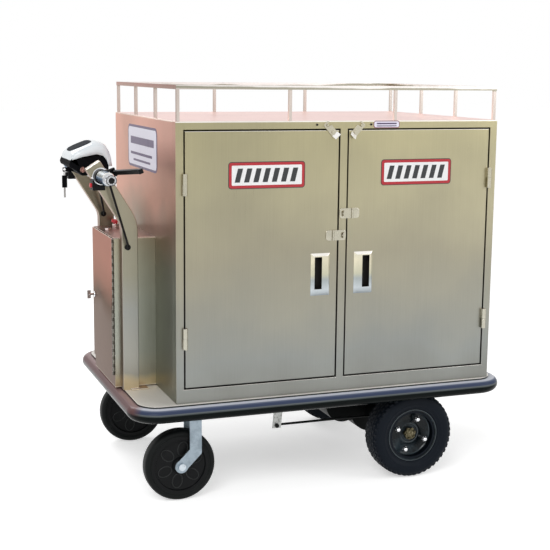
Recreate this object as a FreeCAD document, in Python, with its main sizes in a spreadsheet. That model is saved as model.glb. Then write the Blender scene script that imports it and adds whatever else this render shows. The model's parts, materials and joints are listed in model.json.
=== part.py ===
# Motorised food delivery cart, built from separate pieces in one frame.
# X runs along the cart with the operator's handle at -X, the cabinet doors face -Y, Z is up, in millimetres.
import FreeCAD
import Part
import Sketcher
import math
import os
import re

# Every driving size, in millimetres or degrees
SIZES = {
    # deck, chassis and bumper
    "deck_mid": 53.77,
    "deck_length": 1047,
    "deck_width": 684,
    "deck_top": 288,
    "deck_sheet": 3,
    "deck_lap": 12,
    "rail_height": 25,
    "rail_width": 30,
    "rail_wall": 2,
    "cross_off": 20,
    "bumper_d": 40,
    "bumper_wall": 3,
    "bumper_bend": 65,
    "bumper_drop": 23.5,
    # cabinet, its front frame and shelves
    "cab_length": 950,
    "cab_depth": 690,
    "cab_height": 754,
    "cab_right_gap": 12,
    "cab_sheet": 2,
    "frame_face": 21.5,
    "frame_foot": 38.5,
    "frame_depth": 25,
    "shelf_lip": 20,
    "shelf_bar": 15,
    "shelf_back": 40,
    "shelf_front": 15,
    # clearances
    "running_gap": 0.05,
    "weld_lap": 1,
    "clear_gap": 0.3,
    # doors and barrel hinges
    "door_gap": 4,
    "door_thick": 22,
    "door_sheet": 1.5,
    "hinge_d": 13,
    "hinge_length": 57,
    "hinge_pin_d": 7,
    "hinge_pin_up": 24,
    "hinge_from_top": 164,
    "hinge_from_foot": 179,
    "hinge_tab": 5.5,
    "hinge_tab_off": 1.5,
    # flush pulls and signs
    "pull_length": 57,
    "pull_height": 118,
    "pull_proud": 5,
    "pull_face": 3,
    "pull_edge": 21.25,
    "pull_up": 334,
    "pull_bevel": 8,
    "pull_rim": 4,
    "pull_deep": 16,
    "slot_length": 21,
    "slot_height": 89,
    "slot_from_rim": 11,
    "slot_raise": 4,
    "sign_length": 218,
    "sign_height": 72,
    "sign_thick": 1,
    "sign_from_top": 143,
    "sign_mid": 222,
    # swing latches at the top rail
    "latch_in": 33,
    "latch_down": 31,
    "latch_reach": 25,
    "latch_turn": 42,
    "latch_wide": 19,
    "latch_thick": 2,
    "latch_tail": 17,
    "latch_tip": 9,
    "latch_tab": 10,
    "notch_play": 0.8,
    "notch_flare": 2.5,
    "latch_round": 4,
    "stud_d": 6,
    "stud_out": 4.5,
    "rivet_d": 5,
    "rivet_head": 2,
    "spare_rivet": 80,
    # padlock hasps
    "hasp_pin": 28,
    "hasp_tall": 28,
    "hasp_base": 18,
    "hasp_thick": 2,
    "hasp_barrel_d": 6,
    "hasp_pin_d": 3,
    "hasp_middle": 12,
    "hasp_lap": 10,
    "hasp_lift": 0.5,
    "hasp_right_up": 501,
    "hasp_left_up": 441,
    "staple_thick": 3,
    "staple_tall": 12,
    "staple_out": 10,
    "staple_eye": 5,
    "staple_play": 2,
    # gallery rail and bare label plates
    "gallery_height": 93,
    "gallery_bar": 11,
    "gallery_post": 8.5,
    "gallery_inset": 3,
    "label_length": 336,
    "label_height": 123,
    "label_from_top": 27.5,
    "label_shift": 8,
    "tag_length": 79,
    "tag_height": 20,
    "tag_right": 87,
    # battery box
    "box_depth": 122,
    "box_width": 268,
    "box_height": 424,
    "box_lift": 3,
    "box_sheet": 2,
    "box_sill": 37,
    "box_face": 3.5,
    "box_plate": 2.5,
    "box_keeper": 13,
    "piano_d": 8,
    "piano_pin_d": 4,
    "piano_leaf": 15,
    "piano_sheet": 1.3,
    "piano_out": 1,
    "piano_side": 0.5,
    "piano_edge": 4.2,
    "knob_in": 25,
    "knob_up": 224,
    "knob_d": 12,
    "knob_bezel_d": 18,
    "knob_stem_d": 7,
    "knob_out": 24,
    "wing_deep": 11,
    "wing_tall": 25,
    "wing_thick": 4,
    "cam_in": 6.5,
    "cam_thick": 2.5,
    "cam_wide": 10,
    "cam_length": 18,
    "estop_x": 61,
    "estop_y": 95,
    "estop_d": 24,
    "estop_cap": 8,
    "estop_stem_d": 12,
    "estop_collar_d": 20,
    "estop_collar": 10,
    "estop_travel": 4,
    "socket_x": 24.5,
    "socket_y": 28,
    "socket_d": 18,
    "socket_bore_d": 12,
    "socket_tall": 7,
    "battery_x": 100,
    "battery_y": 122,
    "battery_z": 170,
    "battery_off": 4,
    "terminal_in": 30,
    "terminal_d": 12,
    "terminal_tall": 9,
    "control_x": 30,
    "control_y": 140,
    "control_z": 130,
    "control_up": 235,
    "fin_pitch": 17,
    "fin_thick": 3,
    "fin_deep": 12,
    # uprights and handlebar
    "column_gap": 78.5,
    "upright_w": 45,
    "upright_t": 26,
    "upright_wall": 2.5,
    "foot_long": 50,
    "foot_flange": 10,
    "bend_up": 448.5,
    "bend_r": 80,
    "lean": 32,
    "slant": 165,
    "bar_along": 130,
    "bar_d": 28,
    "bar_wall": 2,
    "bar_out": 143,
    "boss_d": 48,
    "boss_long": 20,
    "plug_long": 14,
    "plug_head": 3,
    "grip_d": 36,
    "grip_long": 86,
    "grip_gap": 2,
    # brake levers, switch pods and cables
    "perch_long": 13,
    "perch_d": 40,
    "perch_tall": 24,
    "perch_start": 15,
    "perch_slot": 21,
    "lever_tilt": 20,
    "lever_pivot": 32,
    "lever_long": 152,
    "lever_flare": 16.5,
    "lever_thick": 12,
    "lever_wide": 12,
    "lever_hub_d": 16,
    "lever_tip_d": 13,
    "lever_pin_d": 6,
    "pod_length": 34,
    "pod_back": 26,
    "pod_deep": 32,
    "pod_tall": 29,
    "pod_drop": 36,
    "pod_button_up": 13,
    "pod_button_d": 12,
    "pod_button_out": 5,
    "pod_button_in": 5,
    "pod_bore": 8.5,
    "cable_d": 6.4,
    "cable_bend": 12,
    "cable_stand": 16,
    "grommet_d": 16,
    "grommet_long": 6,
    "cable_start_x": 20,
    "cable_start_z": 17,
    "grommet_x": 74,
    "grommet_z": 197,
    "far_start_x": 36,
    "far_start_y": 60,
    "far_start_in": 5,
    "far_grommet_x": 71,
    "far_grommet_z": 138,
    # control head, ignition lock and hanging key
    "head_width": 160,
    "head_back": 61.5,
    "head_ahead": 55.5,
    "head_high": 87,
    "head_brow": 60,
    "head_chin": 36,
    "head_nose": 19,
    "brow_in": 5,
    "crown_start": 5.55,
    "crown_end": 33.3,
    "crown_fall": 5,
    "nape_x": 48.84,
    "nape_up": 3,
    "temple_in": 18,
    "temple_down": 27,
    "temple_front": 27,
    "base_tail": 44,
    "base_width": 148,
    "base_drop": 6,
    "nose_tip": 66,
    "nose_edge": 63,
    "nose_mid": 26,
    "nose_top": 33,
    "nose_foot": 18,
    "chin_back": 52,
    "chin_up": 12,
    "keel_back": 30,
    "vault_front": 30,
    "vault_front_up": 46,
    "vault_mid": 10,
    "vault_mid_up": 53,
    "vault_back": 28,
    "vault_back_up": 48,
    "vault_end": 38,
    "vault_end_up": 36,
    "screen_long": 52,
    "screen_wide": 112,
    "screen_thick": 2,
    "screen_in": 7,
    "lock_d": 16,
    "lock_bezel_d": 22,
    "lock_bezel": 4,
    "lock_back": 29,
    "lock_up": 11,
    "lock_deep": 10,
    "lock_proud": 5,
    "eyelet_back": 66,
    "eyelet_tip": 71,
    "eyelet_root": 36,
    "eyelet_tall": 12,
    "eyelet_thick": 2.5,
    "key_hole_d": 7,
    "key_ring_d": 18,
    "key_wire_d": 1.8,
    "bow_wide": 14,
    "bow_thick": 4,
    "bow_tall": 34,
    "blade_wide": 5,
    "blade_thick": 2,
    "blade_long": 28,
    # casters
    "caster_from_end": 149,
    "caster_in": 62,
    "caster_r": 100,
    "caster_wide": 44,
    "caster_rim_r": 80,
    "caster_rim_wide": 40,
    "bulge_up": 8,
    "caster_edge_down": 6,
    "caster_edge_in": 1,
    "caster_crown_down": 1.6,
    "caster_crown_in": 6,
    "caster_flat_in": 13,
    "caster_rim_in": 72,
    "caster_web": 12,
    "caster_hub_r": 22,
    "caster_hub_wide": 52,
    "rib_thick": 6,
    "rib_wide": 36,
    "caster_trail": 40,
    "fork_kick": 45,
    "fork_end_d": 37,
    "fork_bar": 34,
    "fork_thick": 5,
    "fork_inside": 54,
    "caster_plate_x": 110,
    "caster_plate_y": 90,
    "caster_plate_z": 6,
    "race_d": 58,
    "race_tall": 9,
    "crown_tall": 6,
    "king_d": 14,
    "king_nut_d": 24,
    "king_nut": 8,
    "plate_bolt_d": 16,
    "plate_bolt": 6,
    "plate_bolt_in": 14,
    "caster_axle_d": 12,
    "axle_head_d": 20,
    "axle_head": 7,
    # drive axle, wheels and torque stay
    "axle_from_end": 244,
    "wheel_in": 42,
    "tyre_r": 127,
    "tyre_wide": 78,
    "wall_low_up": 24,
    "wall_low_in": 2.5,
    "wall_mid_up": 37,
    "wall_high_down": 12,
    "wall_high_in": 1,
    "tread_edge_down": 3.7,
    "tread_edge_in": 6,
    "tread_in": 17.5,
    "rim_r": 66,
    "rim_wide": 66,
    "rim_flange": 12,
    "rim_wall": 3,
    "disc_out": 4,
    "disc_thick": 6,
    "hub_r": 34,
    "hub_in": 40,
    "shaft_d": 25,
    "shaft_in": 110,
    "shaft_out": 17,
    "lug_circle_r": 47.5,
    "lug_r": 9,
    "lug_stud_d": 9,
    "lug_stud": 12,
    "lug_long": 8,
    "dome_r": 7.5,
    "lug_turn": 67,
    "centre_nut_r": 19,
    "centre_nut": 10,
    "axle_tube_d": 50,
    "axle_in": 102,
    "axle_bore": 60,
    "case_d": 140,
    "case_half": 45,
    "motor_d": 116,
    "motor_long": 130,
    "motor_cap_d": 90,
    "motor_cap": 12,
    "motor_back": 96,
    "motor_up": 26,
    "hanger_in": 122,
    "hanger_x": 120,
    "hanger_thick": 8,
    "hanger_drop": 8,
    "cross_back": 390.5,
    "stay_z": 165,
    "stay_ahead": 3,
    "stay_lean": 9,
    "stay_wide": 26,
    "stay_thick": 4,
    "stay_toe": 8,
    "stay_hole_d": 9,
    "stay_eye_d": 18,
    "stay_rod_d": 7,
    "stay_bolt_d": 6,
    "stay_bolt_head": 5,
}

doc = FreeCAD.newDocument("delivery_cart")
sheet = doc.addObject("Spreadsheet::Sheet", "sizes")
for row, (name, size) in enumerate(SIZES.items(), 1):
    sheet.set(f"A{row}", name)
    sheet.set(f"B{row}", str(size))
    sheet.setAlias(f"B{row}", name)
doc.recompute()

WORD = re.compile(r"[A-Za-z_]\w*")
X_AXIS = FreeCAD.Vector(1, 0, 0)
Y_AXIS = FreeCAD.Vector(0, 1, 0)
Z_AXIS = FreeCAD.Vector(0, 0, 1)
LEVEL = FreeCAD.Rotation()
TURNS = {"x": FreeCAD.Rotation(Y_AXIS, 90), "y": FreeCAD.Rotation(X_AXIS, -90), "z": LEVEL}
NODES = {}
ROUGH_REACH = 50
ROUGH_TURN = 7
FINS = 7


# Shared ways of making pieces

def bound(rule):
    """A size rule with every size name pointed at its cell."""
    return WORD.sub(lambda word: "sizes." + word.group() if word.group() in SIZES else word.group(),
                    str(rule))


def bind(thing, rules):
    for name, rule in rules.items():
        thing.setExpression(name, bound(rule))
    return thing


def put(thing, x, y, z, turn=LEVEL):
    """Place a piece by rules for its base point, after a turn."""
    thing.Placement = FreeCAD.Placement(FreeCAD.Vector(), turn)
    return bind(thing, {"Placement.Base.x": x, "Placement.Base.y": y, "Placement.Base.z": z})


def block(x, y, z, length, width, height, turn=LEVEL):
    thing = doc.addObject("Part::Box", "block")
    bind(thing, {"Length": length, "Width": width, "Height": height})
    return put(thing, x, y, z, turn)


def rod(along, x, y, z, diameter, length):
    thing = doc.addObject("Part::Cylinder", "rod")
    bind(thing, {"Radius": f"({diameter}) / 2", "Height": length})
    return put(thing, x, y, z, TURNS[along])


def fuse(*pieces):
    thing = doc.addObject("Part::MultiFuse", "fuse")
    thing.Shapes = list(pieces)
    thing.Refine = True
    return thing


def cut(piece, *tools):
    thing = doc.addObject("Part::Cut", "cut")
    thing.Base = piece
    thing.Tool = tools[0] if len(tools) == 1 else fuse(*tools)
    thing.Refine = True
    return thing


def ring(along, x, y, z, outer, inner, length):
    return cut(rod(along, x, y, z, outer, length), rod(along, x, y, z, inner, length))


def tube(along, x, y, z, length, width, height):
    """Rectangular tube, open at both ends of the axis it runs along."""
    wall = {axis: "0" if axis == along else "rail_wall" for axis in "xyz"}
    bore = block(f"{x} + {wall['x']}", f"{y} + {wall['y']}", f"{z} + {wall['z']}",
                 f"{length} - 2 * {wall['x']}", f"{width} - 2 * {wall['y']}", f"{height} - 2 * {wall['z']}")
    return cut(block(x, y, z, length, width, height), bore)


def group(*pieces):
    thing = doc.addObject("Part::Compound", "group")
    thing.Links = list(pieces)
    return thing


def node(label, *pieces):
    """Name a finished piece, or several like solids, as one node."""
    thing = pieces[0] if len(pieces) == 1 else group(*pieces)
    thing.Label = label
    NODES[label] = thing
    return thing


def outline(plane, corners):
    """A body holding one closed sketch whose corners follow size rules."""
    body = doc.addObject("PartDesign::Body", "body")
    sketch = body.newObject("Sketcher::SketchObject", "sketch")
    origin = [item for item in body.Origin.OriginFeatures if item.Name.startswith(plane)][0]
    sketch.AttachmentSupport = (origin, [""])
    sketch.MapMode = "FlatFace"
    count = len(corners)
    spread = []
    for i in range(count):
        turn = FreeCAD.Rotation(Z_AXIS, 360 * i / count + ROUGH_TURN)
        spread.append(turn.multVec(X_AXIS * ROUGH_REACH))
    for i in range(count):
        sketch.addGeometry(Part.LineSegment(spread[i], spread[(i + 1) % count]))
    for i in range(count):
        sketch.addConstraint(Sketcher.Constraint("Coincident", i, 2, (i + 1) % count, 1))
    for i, (across, up) in enumerate(corners):
        for kind, far, rule in (("DistanceX", spread[i].x, across), ("DistanceY", spread[i].y, up)):
            index = sketch.addConstraint(Sketcher.Constraint(kind, -1, 1, i, 1, far))
            sketch.renameConstraint(index, f"{kind}{i}")
            sketch.setExpression(f"Constraints.{kind}{i}", bound(rule))
    return body, sketch


def plate(plane, corners, thick, middle=False):
    """A flat piece padded from its outline, along the plane's normal or to both sides."""
    body, sketch = outline(plane, corners)
    pad = body.newObject("PartDesign::Pad", "pad")
    pad.Profile = sketch
    pad.Midplane = middle
    bind(pad, {"Length": thick})
    body.Tip = pad
    return body


def spun(corners):
    """A piece turned about the body's Z axis from corners given as radius and height."""
    body, sketch = outline("XZ_Plane", corners)
    spin = body.newObject("PartDesign::Revolution", "spin")
    spin.Profile = sketch
    spin.ReferenceAxis = (sketch, ["V_Axis"])
    spin.Angle = 360
    body.Tip = spin
    return body


def value(rule):
    """The number a size rule gives now."""
    spare = f"D{len(SIZES) + 2}"
    sheet.set(spare, "=" + rule)
    sheet.recompute()
    number = float(sheet.get(spare))
    sheet.clear(spare)
    return number


# Places that many pieces share
DECK_L = "(deck_mid - deck_length / 2)"
DECK_R = "(deck_mid + deck_length / 2)"
DECK_Y = "(deck_width / 2)"
RAIL_Z = "(deck_top - deck_sheet - rail_height)"
CAB_R = f"({DECK_R} - cab_right_gap)"
CAB_L = f"({CAB_R} - cab_length)"
CAB_MID = f"({CAB_R} - cab_length / 2)"
FRONT = "(-cab_depth / 2)"
CAB_TOP = "(deck_top + cab_height)"
BOX_X = f"({CAB_L} - box_depth)"
SHELL_X = f"({BOX_X} + box_face)"
BOX_Y = "(box_width / 2)"
BOX_IN = "(box_width / 2 - box_sheet)"
BOX_Z = "(deck_top + box_lift)"
BOX_TOP = f"({BOX_Z} + box_height)"
COLUMN_X = f"({CAB_L} - column_gap)"
BEND_Z = "(deck_top + bend_up)"
OUTER_Y = f"({BOX_Y} + upright_t)"
BAR_X = f"({COLUMN_X} - bend_r + bend_r * cos(lean) - bar_along * sin(lean))"
BAR_Z = f"({BEND_Z} + bend_r * sin(lean) + bar_along * cos(lean))"
CASTER_X = f"({DECK_L} + caster_from_end)"
CASTER_Y = f"({DECK_Y} - caster_in)"
AXLE_X = f"({DECK_R} - axle_from_end)"
AXLE_HALF = f"({DECK_Y} - axle_in)"
WHEEL_Y = f"({DECK_Y} - wheel_in)"
HANGER_Y = f"({DECK_Y} - hanger_in)"
CROSS_X = f"({AXLE_X} - cross_back)"
STAY_X = f"({CROSS_X} + stay_ahead)"
SIDES = (("front", -1), ("rear", 1))


def sided(side, low, high):
    """Lower Y rule of a span that is mirrored on the two sides."""
    return f"({low})" if side > 0 else f"(-({high}))"


# Deck sheet and the welded chassis under it
CORNER = "(bumper_bend - bumper_d / 2)"
deck_z = "(deck_top - deck_sheet)"
inner_long = f"deck_length - 2 * {CORNER}"
inner_wide = f"deck_width - 2 * {CORNER}"
deck = [block(f"{DECK_L} + {CORNER}", f"-{DECK_Y} - deck_lap", deck_z, inner_long,
              "deck_width + 2 * deck_lap", "deck_sheet"),
        block(f"{DECK_L} - deck_lap", f"-{DECK_Y} + {CORNER}", deck_z, "deck_length + 2 * deck_lap",
              inner_wide, "deck_sheet")]
for corner_x in (f"{DECK_L} + {CORNER}", f"{DECK_R} - {CORNER}"):
    for side in (-1, 1):
        corner_y = f"{side} * ({DECK_Y} - {CORNER})"
        deck.append(rod("z", corner_x, corner_y, deck_z, f"2 * ({CORNER} + deck_lap)", "deck_sheet"))
node("deck_plate", fuse(*deck))

chassis = []
for name, side in SIDES:
    rail_y = sided(side, f"{DECK_Y} - rail_width", DECK_Y)
    chassis.append(tube("x", f"{DECK_L} + {CORNER}", rail_y, RAIL_Z, f"deck_length - 2 * {CORNER}",
                        "rail_width", "rail_height"))
cross_half = f"({DECK_Y} - rail_width)"
end_half = f"({DECK_Y} - {CORNER})"
crosses = [(f"{CASTER_X} - cross_off - rail_width", cross_half), (f"{CASTER_X} + cross_off", cross_half),
           (f"{CROSS_X} - rail_width / 2", cross_half), (f"{AXLE_X} - cross_off - rail_width", cross_half),
           (f"{AXLE_X} + cross_off", cross_half), (DECK_L, end_half), (f"{DECK_R} - rail_width", end_half)]
for place, half in crosses:
    chassis.append(tube("y", place, f"-{half}", RAIL_Z, "rail_width", f"2 * {half}", "rail_height"))
corner_side = f"({CORNER} * cos(45))"
for low_x in (f"{DECK_L} + {CORNER} - {corner_side}", f"{DECK_R} - {CORNER}"):
    for name, side in SIDES:
        low_y = sided(side, end_half, f"{end_half} + {corner_side}")
        chassis.append(block(low_x, low_y, RAIL_Z, corner_side, corner_side, "rail_height"))
HANGER_Z = "(tyre_r - axle_tube_d / 2 - hanger_drop)"
for name, side in SIDES:
    hanger_y = sided(side, HANGER_Y, f"{HANGER_Y} + hanger_thick")
    hanger = block(f"{AXLE_X} - hanger_x / 2", hanger_y, HANGER_Z, "hanger_x", "hanger_thick",
                   f"{RAIL_Z} - {HANGER_Z}")
    chassis.append(cut(hanger, rod("y", AXLE_X, hanger_y, "tyre_r", "axle_tube_d", "hanger_thick")))
node("chassis_frame", *chassis)

# Bumper tube, a closed loop of straight runs and quarter bends
HALF_X = "(deck_length / 2 + bumper_d / 2)"
HALF_Y = "(deck_width / 2 + bumper_d / 2)"
BUMPER_Z = "(deck_top - bumper_drop)"


def bumper_loop(diameter):
    runs = []
    run_x = f"({HALF_X} - bumper_bend)"
    run_y = f"({HALF_Y} - bumper_bend)"
    for side in (-1, 1):
        runs.append(rod("x", f"deck_mid - {run_x}", f"{side} * {HALF_Y}", BUMPER_Z, diameter,
                        f"2 * {run_x}"))
        runs.append(rod("y", f"deck_mid + {side} * {HALF_X}", f"-{run_y}", BUMPER_Z, diameter,
                        f"2 * {run_y}"))
    for quarter, (sx, sy) in enumerate(((1, 1), (-1, 1), (-1, -1), (1, -1))):
        bend = doc.addObject("Part::Torus", "bend")
        bend.Angle3 = 90
        bind(bend, {"Radius1": "bumper_bend", "Radius2": f"({diameter}) / 2"})
        put(bend, f"deck_mid + {sx} * {run_x}", f"{sy} * {run_y}", BUMPER_Z,
            FreeCAD.Rotation(Z_AXIS, 90 * quarter))
        runs.append(bend)
    return fuse(*runs)


node("bumper_tube", cut(bumper_loop("bumper_d"), bumper_loop("bumper_d - 2 * bumper_wall")))

# Cabinet sheets behind the front frame
WALL_Y = f"({FRONT} + frame_depth)"
WALL_LONG = "(cab_depth - frame_depth)"
SHEET_TALL = "(cab_height - cab_sheet)"
INSIDE_LONG = "(cab_length - 2 * cab_sheet)"
cabinet = []
for place in (CAB_L, f"{CAB_R} - cab_sheet"):
    cabinet.append(block(place, WALL_Y, "deck_top", "cab_sheet", WALL_LONG, SHEET_TALL))
inner_x = f"{CAB_L} + cab_sheet"
cabinet.append(block(inner_x, "cab_depth / 2 - cab_sheet", "deck_top", INSIDE_LONG, "cab_sheet",
                     SHEET_TALL))
cabinet.append(block(CAB_L, WALL_Y, f"{CAB_TOP} - cab_sheet", "cab_length", WALL_LONG, "cab_sheet"))
cabinet.append(block(inner_x, WALL_Y, "deck_top", INSIDE_LONG, f"{WALL_LONG} - cab_sheet", "cab_sheet"))
node("cabinet_shell", *cabinet)

# Divider, shelf bars and lipped shelves inside
INSIDE_Y = f"({WALL_LONG} - cab_sheet)"
SHELF_Z = "(deck_top + cab_height / 2)"
BAY = "(cab_length / 2 - 1.5 * cab_sheet)"
divider = block(f"{CAB_MID} - cab_sheet / 2", WALL_Y, "deck_top + cab_sheet", "cab_sheet", INSIDE_Y,
                "cab_height - 2 * cab_sheet")
interior = [divider]
for start in (f"({CAB_L} + cab_sheet)", f"({CAB_MID} + cab_sheet / 2)"):
    for bar_x in (start, f"{start} + {BAY} - shelf_bar"):
        interior.append(block(bar_x, f"{WALL_Y} + shelf_back", f"{SHELF_Z} - shelf_bar",
                              "shelf_bar", f"{INSIDE_Y} - 2 * shelf_back", "shelf_bar"))
    shelf_y = f"{WALL_Y} + shelf_front"
    shelf_x = f"{start} + clear_gap"
    shelf_long = f"{BAY} - 2 * clear_gap"
    interior.append(block(shelf_x, shelf_y, SHELF_Z, shelf_long, f"{INSIDE_Y} - 2 * shelf_front",
                          "cab_sheet"))
    interior.append(block(shelf_x, shelf_y, f"{SHELF_Z} + cab_sheet", shelf_long, "cab_sheet", "shelf_lip"))
node("cabinet_interior", *interior)

# Front frame: stiles, rails and the middle post
rail_x = f"{CAB_L} + frame_face"
rail_long = "cab_length - 2 * frame_face"
frame = []
for place in (CAB_L, f"{CAB_R} - frame_face"):
    frame.append(tube("z", place, FRONT, "deck_top", "frame_face", "frame_depth", "cab_height"))
frame.append(tube("x", rail_x, FRONT, "deck_top", rail_long, "frame_depth", "frame_foot"))
frame.append(tube("x", rail_x, FRONT, f"{CAB_TOP} - frame_face", rail_long, "frame_depth", "frame_face"))
frame.append(tube("z", f"{CAB_MID} - frame_face / 2", FRONT, "deck_top + frame_foot", "frame_face",
                  "frame_depth",
                   "cab_height - frame_foot - frame_face"))
node("front_frame", *frame)

# Gallery rail: twelve posts and four bars round the top
SPAN_X = "(cab_length - 2 * gallery_inset - gallery_bar)"
SPAN_Y = "(cab_depth - 2 * gallery_inset - gallery_bar)"
POST_X = f"({CAB_L} + gallery_inset)"
POST_Y = f"({FRONT} + gallery_inset)"
BAR_TOP = f"({CAB_TOP} + gallery_height - gallery_bar)"
post_in = "(gallery_bar - gallery_post) / 2"
gallery = []
for i in range(4):
    for j in range(4):
        if i in (0, 3) or j in (0, 3):
            gallery.append(block(f"{POST_X} + {post_in} + {i} * {SPAN_X} / 3",
                                 f"{POST_Y} + {post_in} + {j} * {SPAN_Y} / 3",
                                 CAB_TOP, "gallery_post", "gallery_post", "gallery_height - gallery_bar"))
for place in (POST_Y, f"{POST_Y} + {SPAN_Y}"):
    gallery.append(block(POST_X, place, BAR_TOP, f"{SPAN_X} + gallery_bar", "gallery_bar", "gallery_bar"))
for place in (POST_X, f"{POST_X} + {SPAN_X}"):
    gallery.append(block(place, f"{POST_Y} + gallery_bar", BAR_TOP, "gallery_bar",
                         f"{SPAN_Y} - gallery_bar", "gallery_bar"))
node("gallery_rail", *gallery)

# Bare label plates on the end sheet and the top rail
end_label = block(f"{CAB_L} - sign_thick", "label_shift - label_length / 2",
                  f"{CAB_TOP} - label_from_top - label_height",
                  "sign_thick", "label_length", "label_height")
rail_label = block(f"{CAB_MID} + tag_right", f"{FRONT} - sign_thick",
                   f"{CAB_TOP} - frame_face / 2 - tag_height / 2",
                   "tag_length", "sign_thick", "tag_height")
node("label_plates", end_label, rail_label)

# Doors with hinges, pulls, signs, swing latches and hasps; side -1 is the left door
DOOR_LONG = "(cab_length / 2 - 1.5 * frame_face - 2 * door_gap)"
DOOR_IN = "(frame_face / 2 + door_gap)"
DOOR_OUT = f"({DOOR_IN} + {DOOR_LONG})"
DOOR_Z = "(deck_top + frame_foot + door_gap)"
DOOR_TALL = "(cab_height - frame_foot - frame_face - 2 * door_gap)"
LINER_LONG = f"({DOOR_LONG} - 2 * door_sheet)"
LINER_TALL = f"({DOOR_TALL} - 2 * door_sheet)"
HINGE_Y = f"({FRONT} - hinge_d / 2 - clear_gap)"
HINGE_IN = "(cab_length / 2 - frame_face - door_gap / 2)"
HASP_Y = f"({FRONT} - hasp_barrel_d / 2 - clear_gap)"
PULL_NEAR = f"({DOOR_IN} + pull_edge)"
PULL_FAR = f"({PULL_NEAR} + pull_length)"
PULL_Z = "(deck_top + pull_up - pull_height / 2)"
CUP_LONG = "(pull_length - 2 * pull_rim)"
CUP_TALL = "(pull_height - 2 * pull_rim)"
RIVET_Y = f"({FRONT} - latch_thick - 2 * clear_gap - rivet_head)"


def across(side, near, far):
    """Lower X rule of a span given outwards from the middle post."""
    return f"({CAB_MID} + {near})" if side > 0 else f"({CAB_MID} - ({far}))"


def door_pan(side):
    """Pressed pan with a window for the pull, and the liner sheet that closes its back."""
    pan = block(across(side, DOOR_IN, DOOR_OUT), FRONT, DOOR_Z, DOOR_LONG, "door_thick", DOOR_TALL)
    liner_x = across(side, f"{DOOR_IN} + door_sheet", f"{DOOR_OUT} - door_sheet")
    liner_z = f"{DOOR_Z} + door_sheet"
    hollow = block(liner_x, f"{FRONT} + door_sheet", liner_z, LINER_LONG, "door_thick - door_sheet",
                   LINER_TALL)
    window = block(across(side, f"{PULL_NEAR} + pull_rim", f"{PULL_FAR} - pull_rim"), FRONT,
                   f"{PULL_Z} + pull_rim",
                   CUP_LONG, "door_sheet", CUP_TALL)
    liner = block(liner_x, f"{FRONT} + door_thick - door_sheet", liner_z, LINER_LONG, "door_sheet",
                  LINER_TALL)
    return cut(pan, hollow, window), liner


def flush_pull(side):
    """Bevelled plate with a finger slot that opens into a cup."""
    bevel = doc.addObject("Part::Wedge", "bevel")
    bind(bevel, {"Xmin": 0, "Xmax": "pull_length", "Ymin": 0, "Ymax": "pull_proud", "Zmin": 0,
                 "Zmax": "pull_height",
                 "X2min": "pull_bevel", "X2max": "pull_length - pull_bevel",
                 "Z2min": "pull_bevel", "Z2max": "pull_height - pull_bevel"})
    put(bevel, f"{across(side, PULL_NEAR, PULL_FAR)} + pull_length", FRONT, PULL_Z,
        FreeCAD.Rotation(Z_AXIS, 180))
    cup_x = across(side, f"{PULL_NEAR} + pull_rim", f"{PULL_FAR} - pull_rim")
    cup = block(cup_x, FRONT, f"{PULL_Z} + pull_rim", CUP_LONG, "pull_deep", CUP_TALL)
    well_y = f"{FRONT} - pull_proud + pull_face"
    well = block(f"{cup_x} + door_sheet", well_y, f"{PULL_Z} + pull_rim + door_sheet",
                 f"{CUP_LONG} - 2 * door_sheet",
                 "pull_deep + pull_proud - pull_face - door_sheet", f"{CUP_TALL} - 2 * door_sheet")
    slot_x = across(side, f"{PULL_FAR} - slot_from_rim - slot_length", f"{PULL_FAR} - slot_from_rim")
    slot = block(slot_x, f"{FRONT} - pull_proud", "deck_top + pull_up + slot_raise - slot_height / 2",
                 "slot_length", "pull_proud", "slot_height")
    return cut(fuse(bevel, cup), well, slot)


def swing_latch(side, pivot_x, pivot_z):
    """Notched plate with a bent finger tab, reaching up from its rivet to the rail stud."""
    half = "(latch_wide / 2)"
    low = "(latch_reach - stud_d / 2 - notch_play)"
    high = "(latch_reach + stud_d / 2 + notch_play)"
    deep = "(stud_d / 2 + notch_play / 2)"
    top = "(latch_reach + latch_tip)"
    shape = ((f"-{half}", "-latch_tail"), (half, "-latch_tail"), (half, f"{top} - latch_round"),
             (f"{half} - latch_round", top),
             (f"-{half} + latch_round", top), (f"-{half}", f"{top} - latch_round"), (f"-{half}", high),
             (deep, high),
             (deep, low), (f"-{half}", f"{low} - notch_flare"))
    corners = [(f"{side} * ({wide})", up) for wide, up in shape]
    tab = block(f"-{half}", "-latch_thick - latch_tab", "-latch_tail", "latch_wide",
                "latch_tab + latch_thick / 2", "latch_thick")
    eye = rod("y", 0, "-latch_thick", 0, "rivet_d + 2 * running_gap", "latch_thick")
    latch = cut(fuse(plate("XZ_Plane", corners, "latch_thick"), tab), eye)
    return put(latch, pivot_x, f"{FRONT} - clear_gap", pivot_z,
               FreeCAD.Rotation(Y_AXIS, side * SIZES["latch_turn"]))


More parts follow.
